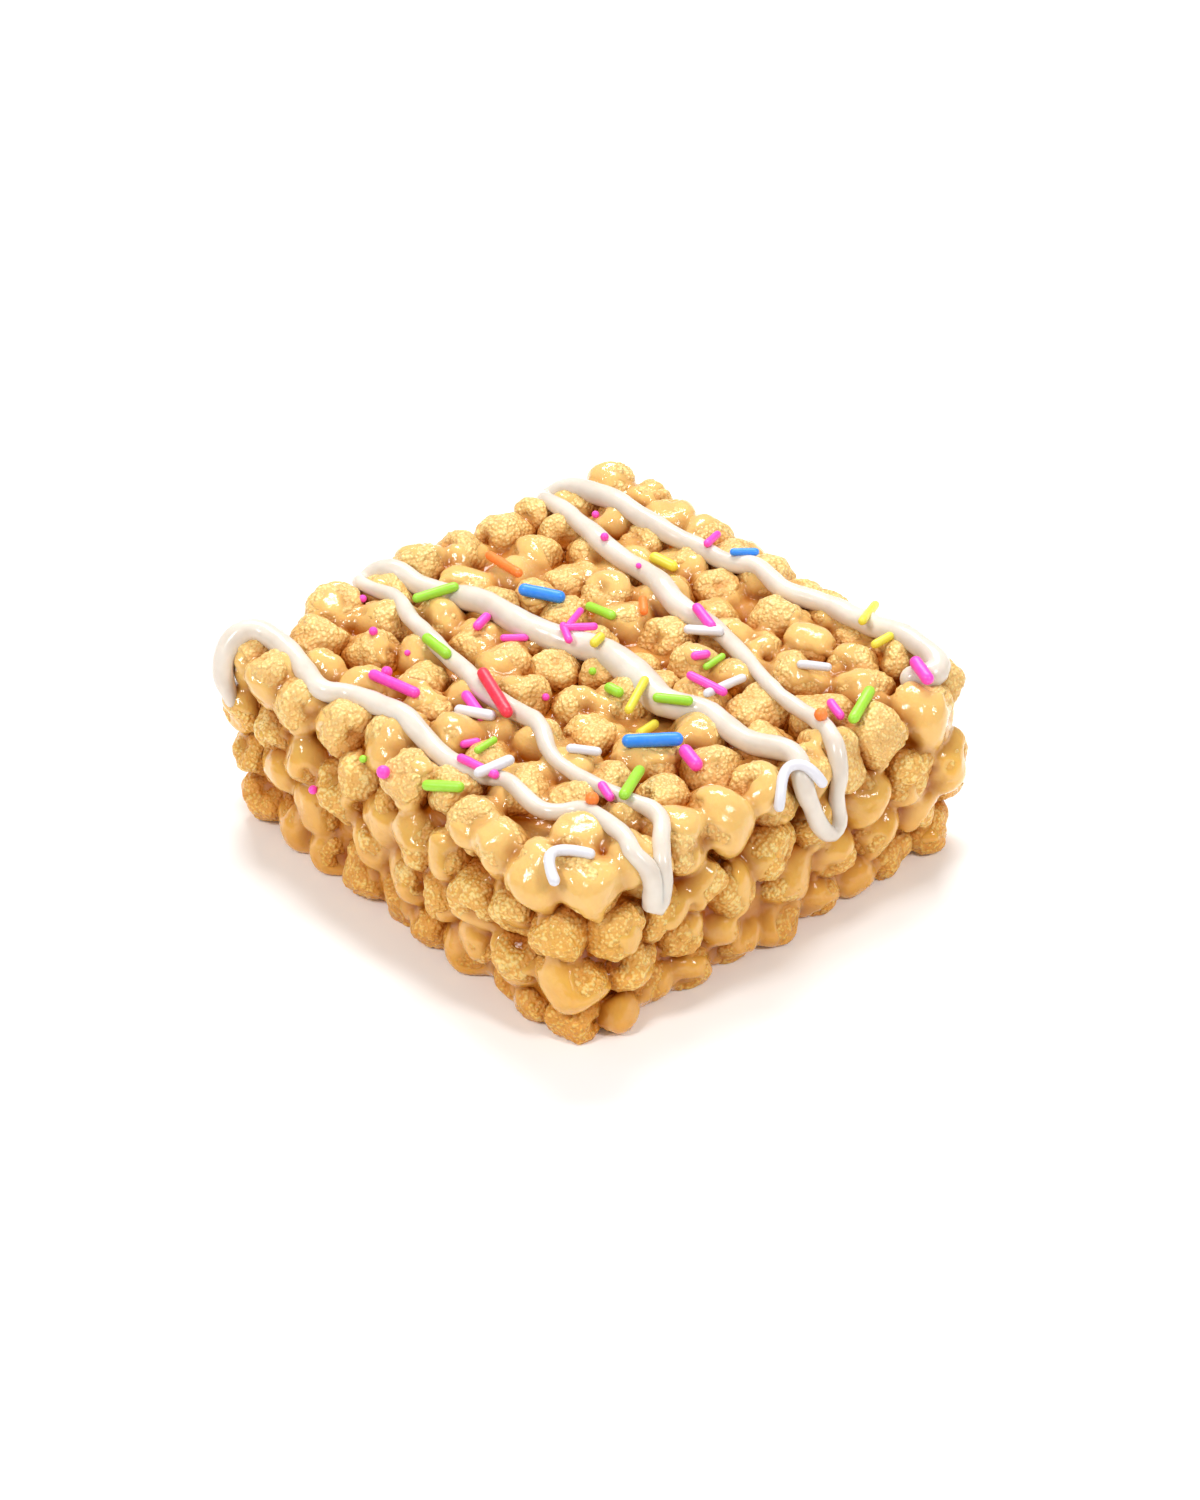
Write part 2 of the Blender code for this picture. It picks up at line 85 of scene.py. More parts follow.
def linear(code: str) -> tuple[float, float, float, float]:
    """Turns an sRGB hex value into a linear colour.

    Args:
        code: six hex digits.

    Returns:
        Red, green, blue and an alpha of one.
    """
    parts = [int(code[start:start + 2], 16) / 255 for start in (0, 2, 4)]
    shades = [part / 12.92 if part <= 0.04045 else ((part + 0.055) / 1.055) ** 2.4 for part in parts]
    return (*shades, 1.0)


def fill(tree: bpy.types.NodeTree, node: bpy.types.Node, **inputs: object) -> None:
    """Sets or links a node's inputs.

    Args:
        tree: the node tree that the node is in.
        node: the node.
        inputs: a value or a socket to link for each input. A space in an input's name is written as an
            underscore, and an input is named by its number as i0, i1 and so on.
    """
    for name, value in inputs.items():
        is_number = name[0] == "i" and name[1:].isdigit()
        socket = node.inputs[int(name[1:])] if is_number else node.inputs[name.replace("_", " ")]
        if isinstance(value, bpy.types.NodeSocket):
            tree.links.new(value, socket)
        else:
            socket.default_value = value


def add_node(
    tree: bpy.types.NodeTree, kind: str, settings: dict[str, str] | None = None, **inputs: object
) -> bpy.types.Node:
    """Adds a node with its settings, input values and links.

    Args:
        tree: the node tree that gets it.
        kind: the node's type name.
        settings: the node's own properties.
        inputs: its inputs, as fill takes them.

    Returns:
        The new node.
    """
    node = tree.nodes.new(kind)
    for name, value in (settings or {}).items():
        setattr(node, name, value)
    fill(tree, node, **inputs)
    return node


def make_object(name: str, data: bpy.types.ID) -> bpy.types.Object:
    """Links a new object into the scene.

    Args:
        name: the object's name.
        data: its mesh, curve, light or camera.

    Returns:
        The object, at the origin.
    """
    thing = bpy.data.objects.new(name, data)
    bpy.context.scene.collection.objects.link(thing)
    return thing


def plain_mesh(thing: bpy.types.Object, name: str) -> bpy.types.Object:
    """Swaps an object that Geometry Nodes build for one with the finished plain mesh.

    Args:
        thing: the object with live modifiers.
        name: the finished piece's name.

    Returns:
        The finished piece.
    """
    evaluated = thing.evaluated_get(bpy.context.evaluated_depsgraph_get())
    mesh = bpy.data.meshes.new_from_object(evaluated)
    thing.modifiers.clear()
    bpy.data.objects.remove(thing, do_unlink=True)
    mesh.name = name
    return make_object(name, mesh)


def run_nodes(thing: bpy.types.Object, tree: bpy.types.NodeTree, **values: object) -> None:
    """Puts a Geometry Nodes tree on an object and sets the tree's named inputs.

    Args:
        thing: the object.
        tree: the node group.
        values: a value for each named input, with underscores for spaces.
    """
    modifier = thing.modifiers.new("build", "NODES")
    modifier.node_group = tree
    sockets = {item.name: item for item in tree.interface.items_tree if item.in_out == "INPUT"}
    for name, value in values.items():
        modifier[sockets[name.replace("_", " ")].identifier] = value


def geometry_tree(name: str, inputs: dict[str, str]) -> bpy.types.NodeTree:
    """Starts a Geometry Nodes tree that takes and gives geometry.

    Args:
        name: the tree's name.
        inputs: the kind of socket for each of its other named inputs.

    Returns:
        The node group.
    """
    tree = bpy.data.node_groups.new(name, "GeometryNodeTree")
    for label, kind in {"Geometry": "Geometry", **inputs}.items():
        tree.interface.new_socket(label, in_out="INPUT", socket_type="NodeSocket" + kind)
    tree.interface.new_socket("Geometry", in_out="OUTPUT", socket_type="NodeSocketGeometry")
    return tree


def push_out(
    tree: bpy.types.NodeTree, surface: bpy.types.NodeSocket, size: bpy.types.NodeSocket,
    height: bpy.types.NodeSocket, detail: float, roughness: float,
) -> bpy.types.NodeSocket:
    """Pushes a surface in and out along its normals in random swells.

    Args:
        tree: the Geometry Nodes tree.
        surface: the surface.
        size: how large one swell is.
        height: how far the highest swell is from the lowest.
        detail: how many finer swells lie on each.
        roughness: how strong the finer swells are.

    Returns:
        The changed surface.
    """
    fine = add_node(tree, "ShaderNodeMath", {"operation": "DIVIDE"}, i0=1.0, i1=size).outputs[0]
    swells = add_node(tree, "ShaderNodeTexNoise", Scale=fine, Detail=detail, Roughness=roughness)
    middled = add_node(tree, "ShaderNodeMath", {"operation": "SUBTRACT"}, i0=swells.outputs["Fac"], i1=0.5)
    lift = add_node(tree, "ShaderNodeMath", {"operation": "MULTIPLY"}, i0=middled.outputs[0], i1=height)
    normal = add_node(tree, "GeometryNodeInputNormal").outputs["Normal"]
    offset = add_node(
        tree, "ShaderNodeVectorMath", {"operation": "SCALE"}, Vector=normal, Scale=lift.outputs[0]
    )
    moved = add_node(tree, "GeometryNodeSetPosition", Geometry=surface, Offset=offset.outputs["Vector"])
    return moved.outputs["Geometry"]


def paint_sheen_and_shade_by_height(
    tree: bpy.types.NodeTree, colour: bpy.types.NodeSocket, painted_foot_shade: str, painted_sheen: str, most: float
) -> bpy.types.NodeSocket:
    """Paints shade onto a colour near the bar's bottom, and paints a pale sheen onto it on top.

    Args:
        tree: the material's nodes.
        colour: the colour.
        painted_foot_shade: the tint that multiplies it near the bottom, as painted shade.
        painted_sheen: the pale colour painted on top as sheen.
        most: the painted sheen's share on top.

    Returns:
        The changed colour.
    """
    place = add_node(tree, "ShaderNodeTexCoord").outputs["Object"]
    height = add_node(tree, "ShaderNodeSeparateXYZ", Vector=place).outputs["Z"]
    low = add_node(
        tree, "ShaderNodeMapRange", Value=height, From_Max=SHADE_BELOW_MM * MM, To_Min=1.0, To_Max=0.0
    )
    high = add_node(
        tree, "ShaderNodeMapRange",
        Value=height, From_Min=SHEEN_FROM_MM * MM, From_Max=SHEEN_FULL_MM * MM, To_Max=most,
    )
    # Painted shade near the bottom
    bottom_shaded = add_node(
        tree, "ShaderNodeMix", {"data_type": "RGBA", "blend_type": "MULTIPLY"},
        Factor=low.outputs["Result"], i6=colour, i7=linear(painted_foot_shade),
    )
    # Painted sheen on top
    top_sheened = add_node(
        tree, "ShaderNodeMix", {"data_type": "RGBA"},
        Factor=high.outputs["Result"], i6=bottom_shaded.outputs[2], i7=linear(painted_sheen),
    )
    return top_sheened.outputs[2]


def soft_noise(axes: list[np.ndarray], scale: float, seed: int) -> np.ndarray:
    """Smooth random swells over a grid.

    Args:
        axes: the grid's coordinates along x, y and z.
        scale: the swells' size.
        seed: which random pattern.

    Returns:
        A value from -1 to 1 at each grid point.
    """
    draw = np.random.default_rng(seed)
    weights = []
    for axis in axes:
        place = (axis - axis[0]) / scale
        cell = np.floor(place).astype(int)
        share = place - cell
        share = share * share * (3 - 2 * share)
        weight = np.zeros((len(axis), cell[-1] + 2))
        weight[np.arange(len(axis)), cell] = 1 - share
        weight[np.arange(len(axis)), cell + 1] += share
        weights.append(weight)
    lattice = draw.uniform(-1, 1, [weight.shape[1] for weight in weights])
    return np.einsum("ai,bj,ck,ijk->abc", *weights, lattice, optimize=True)


# The layout that the solid and the scene share


@dataclass(frozen=True)
class BarForm:
    """The bar's outer form, in millimetres."""

    length: float = 63.6
    width: float = 61.6
    height: float = 22.4
    corner_radius: float = 6.5
    edge_radius: float = 4.0
    top_draw_in: float = 0.5
    base_draw_in: float = 1.2
    drape_reach: float = 3.0
    drape_deepest: float = 2.4
    cast_rounds: int = 24
    cast_step: float = 0.9
    read_shift: tuple[float, float] = (0.7, -0.6)
    middle: tuple[float, float] = (-0.239, 0.188)

    def drape_frame(self, x: float, y: float) -> tuple[np.ndarray, np.ndarray]:
        """Finds where a plan coordinate lies on the bar's smooth outline.

        Args:
            x: the place along the bar, which runs on down the side past an edge.
            y: the place across it.

        Returns:
            The point and the outward direction there.
        """
        rounding = self.corner_radius - self.edge_radius
        room = np.array([self.length, self.width]) / 2 - self.corner_radius
        plan = np.array([x, y]) + self.read_shift
        inner = np.clip(plan, -room, room)
        beyond = plan - inner
        reach = np.linalg.norm(beyond)
        if reach <= rounding:
            return np.array([*plan, self.height]), np.array([0.0, 0.0, 1.0])
        outward = beyond / reach
        travel = reach - rounding
        turn = min(travel / self.edge_radius, math.pi / 2)
        drop = max(travel - self.edge_radius * math.pi / 2, 0)
        flat = inner + outward * (rounding + self.edge_radius * math.sin(turn))
        height = self.height - self.edge_radius * (1 - math.cos(turn)) - drop
        normal = np.array([*(outward * math.sin(turn)), math.cos(turn)])
        return np.array([*flat, height]), normal

    def drape_frames(self, plan: np.ndarray) -> tuple[np.ndarray, np.ndarray]:
        """Finds where plan coordinates lie on the bar's smooth outline.

        Args:
            plan: x and y in each row.

        Returns:
            The points and the outward direction at each.
        """
        frames = [self.drape_frame(x, y) for x, y in plan]
        return np.array([point for point, _ in frames]), np.array([normal for _, normal in frames])

    def cast_down(
        self, starts: np.ndarray, normals: np.ndarray, distance: Callable[[np.ndarray], np.ndarray]
    ) -> np.ndarray:
        """Finds how high the relief stands over the smooth outline where inward rays meet it.

        Args:
            starts: points on the smooth outline.
            normals: the outward direction at each.
            distance: gives how far points are from what the rays may meet.

        Returns:
            The height at each point.
        """
        travel = np.full(len(starts), self.drape_reach)
        for _ in range(self.cast_rounds):
            room = np.maximum(distance(starts + normals * travel[:, None]), 0)
            travel = travel - room * self.cast_step
        return np.maximum(travel, -self.drape_deepest)


@dataclass(frozen=True)
class Puffs:
    """The crisps that show, as rounded cylinders."""

    centres: np.ndarray
    radii: np.ndarray
    half_lengths: np.ndarray
    axes: np.ndarray
    rounding: float

    def gap(
        self, along: np.ndarray, across: np.ndarray, radius: np.ndarray, half_length: np.ndarray
    ) -> np.ndarray:
        """Finds how far places are from the surface of a rounded cylinder.

        Args:
            along: how far each place is from its middle along its axis.
            across: how far each place is from its axis.
            radius: its radius.
            half_length: half its length.

        Returns:
            The distance at each place, negative inside.
        """
        rounding = radius * self.rounding
        side = across - (radius - rounding)
        end = np.abs(along) - (half_length - rounding)
        outside = np.hypot(np.maximum(side, 0), np.maximum(end, 0))
        return outside + np.minimum(np.maximum(side, end), 0) - rounding

    def field(self, index: int, points: np.ndarray) -> np.ndarray:
        """Finds how far points are from one crisp's surface.

        Args:
            index: which crisp.
            points: the points, along the array's last axis.

        Returns:
            The distance at each point, negative inside.
        """
        away = points - self.centres[index]
        along = away @ self.axes[index]
        across = np.sqrt(np.maximum((away**2).sum(axis=-1) - along**2, 0))
        return self.gap(along, across, self.radii[index], self.half_lengths[index])

    def distance(self, points: np.ndarray) -> np.ndarray:
        """Finds how far points are from the nearest crisp's surface.

        Args:
            points: the points, one a row.

        Returns:
            The distance at each point, negative inside.
        """
        away = points[:, None, :] - self.centres[None, :, :]
        along = np.einsum("pni,ni->pn", away, self.axes)
        across = np.linalg.norm(away - along[:, :, None] * self.axes[None, :, :], axis=2)
        return self.gap(along, across, self.radii, self.half_lengths).min(axis=1)


@dataclass(frozen=True)
class PuffPacking:
    """The rule that presses the crisps into the bar."""

    form: BarForm
    rows: tuple[int, int, int] = (11, 10, 4)
    radius: float = 3.1
    radius_spread: float = 0.32
    radius_range: tuple[float, float] = (2.3, 3.7)
    length_share: tuple[float, float] = (0.84, 1.10)
    rounding: float = 0.56
    seed: int = 8
    rounds: int = 120
    push: float = 0.40
    spread: float = 1.06
    start_jitter: float = 0.42
    surface_jitter: float = 0.5
    shown_depth: float = 1.6
    base_sink: float = 0.25

    def hold_in_bar(self, centres: np.ndarray, radii: np.ndarray) -> np.ndarray:
        """Moves centres back inside the bar, so that a crisp at its side just reaches its outline.

        Args:
            centres: the crisps' centres.
            radii: their radii.

        Returns:
            The centres, moved.
        """
        form = self.form
        half_depth = form.height / 2 - radii
        rise = np.clip((centres[:, 2] - form.height / 2) / half_depth, -1, 1)
        draw_in = rise**2 * np.where(rise > 0, form.top_draw_in, form.base_draw_in)
        rounding = np.maximum(form.corner_radius - radii, 0.5)
        room = np.array([form.length, form.width]) / 2 - (radii + draw_in + rounding)[:, None]
        inner = np.clip(centres[:, :2], -room, room)
        beyond = centres[:, :2] - inner
        reach = np.maximum(np.linalg.norm(beyond, axis=1), 1e-9)
        flat = inner + beyond * np.minimum(1, rounding / reach)[:, None]
        height = np.clip(centres[:, 2], radii * (1 - self.base_sink), form.height - radii)
        return np.column_stack([flat, height])

    def pack(self) -> Puffs:
        """Tips the crisps into the bar's tin and presses them until they touch.

        Returns:
            The crisps that show.
        """
        form = self.form
        draw = np.random.default_rng(self.seed)
        cells = np.array(list(np.ndindex(self.rows)))
        count = len(cells)
        radii = np.clip(draw.normal(self.radius, self.radius_spread, count), *self.radius_range)
        half_lengths = radii * draw.uniform(*self.length_share, count)
        axes = draw.normal(size=(count, 3))
        axes /= np.linalg.norm(axes, axis=1)[:, None]
        stagger = np.column_stack([cells[:, 1] + cells[:, 2], cells[:, 2], np.zeros(count)]) % 2 * 0.5 - 0.25
        jitter = draw.uniform(-self.start_jitter, self.start_jitter, (count, 3))
        places = cells + 0.5 + stagger * (1, 1, 0) + jitter
        size = (form.length, form.width, form.height)
        centres = (places / self.rows - 0.5) * size + (0, 0, form.height / 2)
        reach = (radii[:, None] + radii[None, :]) * self.spread
        for _ in range(self.rounds):
            centres = self.hold_in_bar(centres, radii)
            apart = centres[:, None, :] - centres[None, :, :]
            distance = np.linalg.norm(apart, axis=2) + np.eye(count) * 1e3
            overlap = np.maximum(reach - distance, 0)
            centres = centres + self.push * (apart * (overlap / distance)[:, :, None]).sum(axis=1) / 2
        centres = self.hold_in_bar(centres, radii)
        shift = draw.uniform(-self.surface_jitter, self.surface_jitter, (count, 3))
        shift[:, 2] *= centres[:, 2] > form.height / 2
        centres = centres + shift
        depth = np.minimum.reduce([
            form.length / 2 - np.abs(centres[:, 0]),
            form.width / 2 - np.abs(centres[:, 1]),
            form.height - centres[:, 2],
            centres[:, 2] + 1.0,
        ])
        shown = depth < radii * self.shown_depth
        return Puffs(centres[shown], radii[shown], half_lengths[shown], axes[shown], self.rounding)


# The finishes


@dataclass(frozen=True)
class ToastedCrisp:
    """Extruded and toasted protein crisp: dry, porous and golden, with sugary grit in its skin.

    To the eye it is a matt straw-gold with a grain of about 0.4 mm, with painted brown shade in its pits and
    crevices.
    """

    # Painted light and shade on the grit: its bumps lighter and its pits darker
    light: str = "F9D784"
    middle: str = "F4C562"
    dark: str = "E4A640"
    # Painted shade in the crevices between crisps
    crevice: str = "AE5E0A"
    # Painted shade near the bottom, and a pale painted sheen on top
    painted_foot_shade: str = "FFEAB8"
    painted_sheen: str = "F8E2A8"
    painted_sheen_share: float = 0.34
    middle_at: float = 0.08
    light_at: float = 0.30
    tone_share: float = 0.08
    grit_mm: float = 0.44
    grit_warp: float = 0.4
    blister_mm: float = 1.4
    roughness: float = 0.62
    glaze: float = 0.9

    def make(self) -> bpy.types.Material:
        """Builds the material's nodes.

        Returns:
            The material.
        """
        material = bpy.data.materials.new("toasted protein crisp")
        material.use_nodes = True
        tree = material.node_tree
        place = add_node(tree, "ShaderNodeTexCoord").outputs["Object"]
        fine = 1 / (self.grit_mm * MM)
        blister = add_node(
            tree, "ShaderNodeTexNoise",
            Vector=place, Scale=1 / (self.blister_mm * MM), Detail=3.0, Roughness=0.55,
        ).outputs["Fac"]
        wobble = add_node(tree, "ShaderNodeTexNoise", Vector=place, Scale=fine, Detail=2.0).outputs["Color"]
        shift = add_node(
            tree, "ShaderNodeVectorMath", {"operation": "MULTIPLY_ADD"},
            i0=wobble, i1=(self.grit_warp * self.grit_mm * MM,) * 3, i2=place,
        ).outputs["Vector"]
        grit = add_node(
            tree, "ShaderNodeTexVoronoi", {"feature": "SMOOTH_F1"}, Vector=shift, Scale=fine, Smoothness=0.5
        ).outputs["Distance"]
        tone = add_node(tree, "ShaderNodeAttribute", {"attribute_name": "tone"}).outputs["Fac"]
        sunk = add_node(tree, "ShaderNodeAttribute", {"attribute_name": "sunk"}).outputs["Fac"]
        height = add_node(
            tree, "ShaderNodeMath", {"operation": "MULTIPLY_ADD"}, i0=grit, i1=-1.0, i2=blister
        ).outputs[0]
        shade = add_node(
            tree, "ShaderNodeMath", {"operation": "MULTIPLY_ADD"}, i0=tone, i1=self.tone_share, i2=height
        ).outputs[0]
        # Painted light and shade on the grit, over the blister swells' and each crisp's own tone
        ramp = add_node(tree, "ShaderNodeValToRGB", Fac=shade)
        ramp.color_ramp.elements[0].color = linear(self.dark)
        ramp.color_ramp.elements[1].position = self.light_at
        ramp.color_ramp.elements[1].color = linear(self.light)
        ramp.color_ramp.elements.new(self.middle_at).color = linear(self.middle)
        # Painted shade near the bottom and a painted sheen on top
        skin = paint_sheen_and_shade_by_height(tree, ramp.outputs["Color"], self.painted_foot_shade, self.painted_sheen, self.painted_sheen_share)
        # Painted shade: the crevices between crisps are mixed toward a darker brown
        toasted = add_node(
            tree, "ShaderNodeMix", {"data_type": "RGBA"}, Factor=sunk, i6=skin, i7=linear(self.crevice)
        ).outputs[2]
        bump = add_node(tree, "ShaderNodeBump", Height=height, Distance=0.4 * MM, Strength=0.8)
        open_air = add_node(
            tree, "ShaderNodeMath", {"operation": "MULTIPLY_ADD"}, i0=sunk, i1=-self.glaze, i2=self.glaze
        ).outputs[0]
        fill(
            tree, tree.nodes["Principled BSDF"], Base_Color=toasted, Normal=bump.outputs["Normal"],
            Roughness=self.roughness, Specular_IOR_Level=0.2,
            Coat_Weight=open_air, Coat_Roughness=0.38, Coat_Normal=bump.outputs["Normal"],
            Subsurface_Weight=0.12, Subsurface_Radius=(1.0, 0.6, 0.25), Subsurface_Scale=0.8 * MM,
        )
        return material


@dataclass(frozen=True)
class CaramelSyrup:
    """Cooked caramel syrup set to a clear, sticky skin.

    To the eye it is a glossy tan film with sharp lights on it, deeper and more orange where it pools and
    where shade is painted into the crevices.
    """

    film: str = "D99C36"
    # Deeper orange where the caramel pools thick in the crevices, with painted shade there too
    pool_and_shade: str = "9E4E04"
    streak: str = "EEBE60"
    # Painted shade near the bottom, and a pale painted sheen on top
    painted_foot_shade: str = "FFEAB8"
    painted_sheen: str = "F4DEAC"
    painted_sheen_share: float = 0.28
    cloud_mm: float = 5.0
    ripple_mm: float = 1.2
    roughness: float = 0.12
    gloss: float = 0.85
    gloss_lost: float = 0.65

    def make(self) -> bpy.types.Material:
        """Builds the material's nodes.

        Returns:
            The material.
        """
        material = bpy.data.materials.new("set caramel syrup")
        material.use_nodes = True
        tree = material.node_tree
        place = add_node(tree, "ShaderNodeTexCoord").outputs["Object"]
        cloud, ripple = [
            add_node(
                tree, "ShaderNodeTexNoise", Vector=place, Scale=1 / (size * MM), Detail=detail, Roughness=0.5
            ).outputs["Fac"]
            for size, detail in ((self.cloud_mm, 2.0), (self.ripple_mm, 4.0))
        ]
        sunk = add_node(tree, "ShaderNodeAttribute", {"attribute_name": "sunk"}).outputs["Fac"]
        film = add_node(
            tree, "ShaderNodeMix", {"data_type": "RGBA"},
            Factor=cloud, i6=linear(self.film), i7=linear(self.streak),
        ).outputs[2]
        # Painted shade near the bottom and a painted sheen on top
        skin = paint_sheen_and_shade_by_height(tree, film, self.painted_foot_shade, self.painted_sheen, self.painted_sheen_share)
        # Pooled caramel and painted shade in the crevices
        pooled_and_shaded = add_node(
            tree, "ShaderNodeMix", {"data_type": "RGBA"}, Factor=sunk, i6=skin, i7=linear(self.pool_and_shade)
        ).outputs[2]
        bump = add_node(tree, "ShaderNodeBump", Height=ripple, Distance=0.3 * MM, Strength=0.6)
        open_air = add_node(
            tree, "ShaderNodeMath", {"operation": "MULTIPLY_ADD"},
            i0=sunk, i1=-self.gloss_lost, i2=self.gloss,
        ).outputs[0]
        fill(
            tree, tree.nodes["Principled BSDF"], Base_Color=pooled_and_shaded, Normal=bump.outputs["Normal"],
            Roughness=self.roughness, Specular_IOR_Level=0.2,
            Coat_Weight=open_air, Coat_Roughness=0.06, Coat_Normal=bump.outputs["Normal"],
            Subsurface_Weight=0.25, Subsurface_Radius=(1.0, 0.45, 0.15), Subsurface_Scale=1.2 * MM,
        )
        return material


@dataclass(frozen=True)
class YogurtIcing:
    """Yogurt icing piped warm and set: fatty, dense and satin.

    To the eye it is a warm off-white with soft lights, in faint swirls of a darker cream.
    """

    light: str = "E2D8CB"
    shade: str = "D6CABC"
    swirl_mm: float = 4.0
    roughness: float = 0.2

    def make(self) -> bpy.types.Material:
        """Builds the material's nodes.

        Returns:
            The material.
        """
        material = bpy.data.materials.new("piped yogurt icing")
        material.use_nodes = True
        tree = material.node_tree
        place = add_node(tree, "ShaderNodeTexCoord").outputs["Object"]
        swirl = add_node(
            tree, "ShaderNodeTexNoise",
            Vector=place, Scale=1 / (self.swirl_mm * MM), Detail=3.0, Roughness=0.5,
        ).outputs["Fac"]
        ramp = add_node(tree, "ShaderNodeValToRGB", Fac=swirl)
        ramp.color_ramp.elements[0].position = 0.35
        ramp.color_ramp.elements[0].color = linear(self.shade)
        ramp.color_ramp.elements[1].position = 0.62
        ramp.color_ramp.elements[1].color = linear(self.light)
        bump = add_node(tree, "ShaderNodeBump", Height=swirl, Distance=0.3 * MM, Strength=0.35)
        fill(
            tree, tree.nodes["Principled BSDF"],
            Base_Color=ramp.outputs["Color"], Normal=bump.outputs["Normal"],
            Roughness=self.roughness, IOR=1.46,
            Subsurface_Weight=0.3, Subsurface_Radius=(1.0, 0.7, 0.5), Subsurface_Scale=1.2 * MM,
        )
        return material


@dataclass(frozen=True)
class SugarShell:
    """Pressed sugar dyed through and waxed, one dye for each kind.

    To the eye it is a bright, even colour with a soft sheen and a faint powdery mottle.
    """

    sugar: Sugar
    mottle_mm: float = 0.7
    bloom: float = 0.08
    roughness: float = 0.38

    def make(self) -> bpy.types.Material:
        """Builds the material's nodes.

        Returns:
            The material.
        """
        material = bpy.data.materials.new(f"waxed sugar {self.sugar.name.lower()}")
        material.use_nodes = True
        tree = material.node_tree
        place = add_node(tree, "ShaderNodeTexCoord").outputs["Object"]
        mottle = add_node(
            tree, "ShaderNodeTexNoise",
            Vector=place, Scale=1 / (self.mottle_mm * MM), Detail=3.0, Roughness=0.6,
        ).outputs["Fac"]
        dye = linear(self.sugar.value)
        pale = (*(shade + (1 - shade) * self.bloom for shade in dye[:3]), 1.0)
        mix = add_node(tree, "ShaderNodeMix", {"data_type": "RGBA"}, Factor=mottle, i6=dye, i7=pale)
        bump = add_node(tree, "ShaderNodeBump", Height=mottle, Distance=0.08 * MM, Strength=0.4)
        fill(
            tree, tree.nodes["Principled BSDF"],
            Base_Color=mix.outputs[2], Normal=bump.outputs["Normal"], Roughness=self.roughness,
            Subsurface_Weight=0.2, Subsurface_Radius=(1.0, 1.0, 1.0), Subsurface_Scale=0.5 * MM,
        )
        return material


# The caramel


@dataclass(frozen=True)
class Crowding:
    """How much of the room round each place is filled: about a half on a flat, more in a crevice."""

    axes: list[np.ndarray]
    share: np.ndarray
    base_depth: float = 1.5
    base_share: float = 0.25

    @classmethod
    def measure(cls, axes: list[np.ndarray], filled: np.ndarray, reach: int) -> "Crowding":
        """Averages what is filled over the cells around each grid point.

        Args:
            axes: the grid's coordinates.
            filled: which grid points lie inside the bar.
            reach: how many cells the average spans to each side.

        Returns:
            The measured grid.
        """
        share = filled.astype(np.float32)
        for axis in (0, 1, 2, 0, 1, 2):
            share = np.moveaxis(share, axis, 0)
            before, after = share[:1].repeat(reach + 1, 0), share[-1:].repeat(reach, 0)
            total = np.cumsum(np.concatenate([before, share, after]), axis=0, dtype=np.float64)
            share = ((total[2 * reach + 1:] - total[:-2 * reach - 1]) / (2 * reach + 1)).astype(np.float32)
            share = np.moveaxis(share, 0, axis)
        return cls(axes, share)

    def mark(self, mesh: bpy.types.Mesh, least: float, most: float) -> None:
        """Stores on a mesh how deep in a crevice each point lies, from 0 to 1, as the mask for painted
        crevice shade.

        Args:
            mesh: the mesh, in metres.
            least: the filled share that counts as 0.
            most: the filled share that counts as 1.
        """
        places = np.empty(len(mesh.vertices) * 3)
        mesh.vertices.foreach_get("co", places)
        places = places.reshape(-1, 3) / MM
        cells, parts = [], []
        for axis, column in zip(self.axes, places.T):
            spot = np.clip((column - axis[0]) / (axis[1] - axis[0]), 0, len(axis) - 1.001)
            cells.append(spot.astype(int))
            parts.append(spot - cells[-1])
        share = np.zeros(len(places))
        for corner in np.ndindex(2, 2, 2):
            weight = np.prod([part if step else 1 - part for step, part in zip(corner, parts)], axis=0)
            share += weight * self.share[tuple(cell + step for step, cell in zip(corner, cells))]
        # How deep in a crevice a point lies: the materials paint shade in and lessen the gloss by this mask
        sunk = np.clip((share - least) / (most - least), 0, 1)
        # The underside is pressed flat, so little on it lies in a crevice and little shade is painted on it
        sunk *= np.clip(places[:, 2] / self.base_depth, self.base_share, 1)
        layer = mesh.attributes.new("sunk", "FLOAT", "POINT")
        layer.data.foreach_set("value", sunk.astype(np.float32))


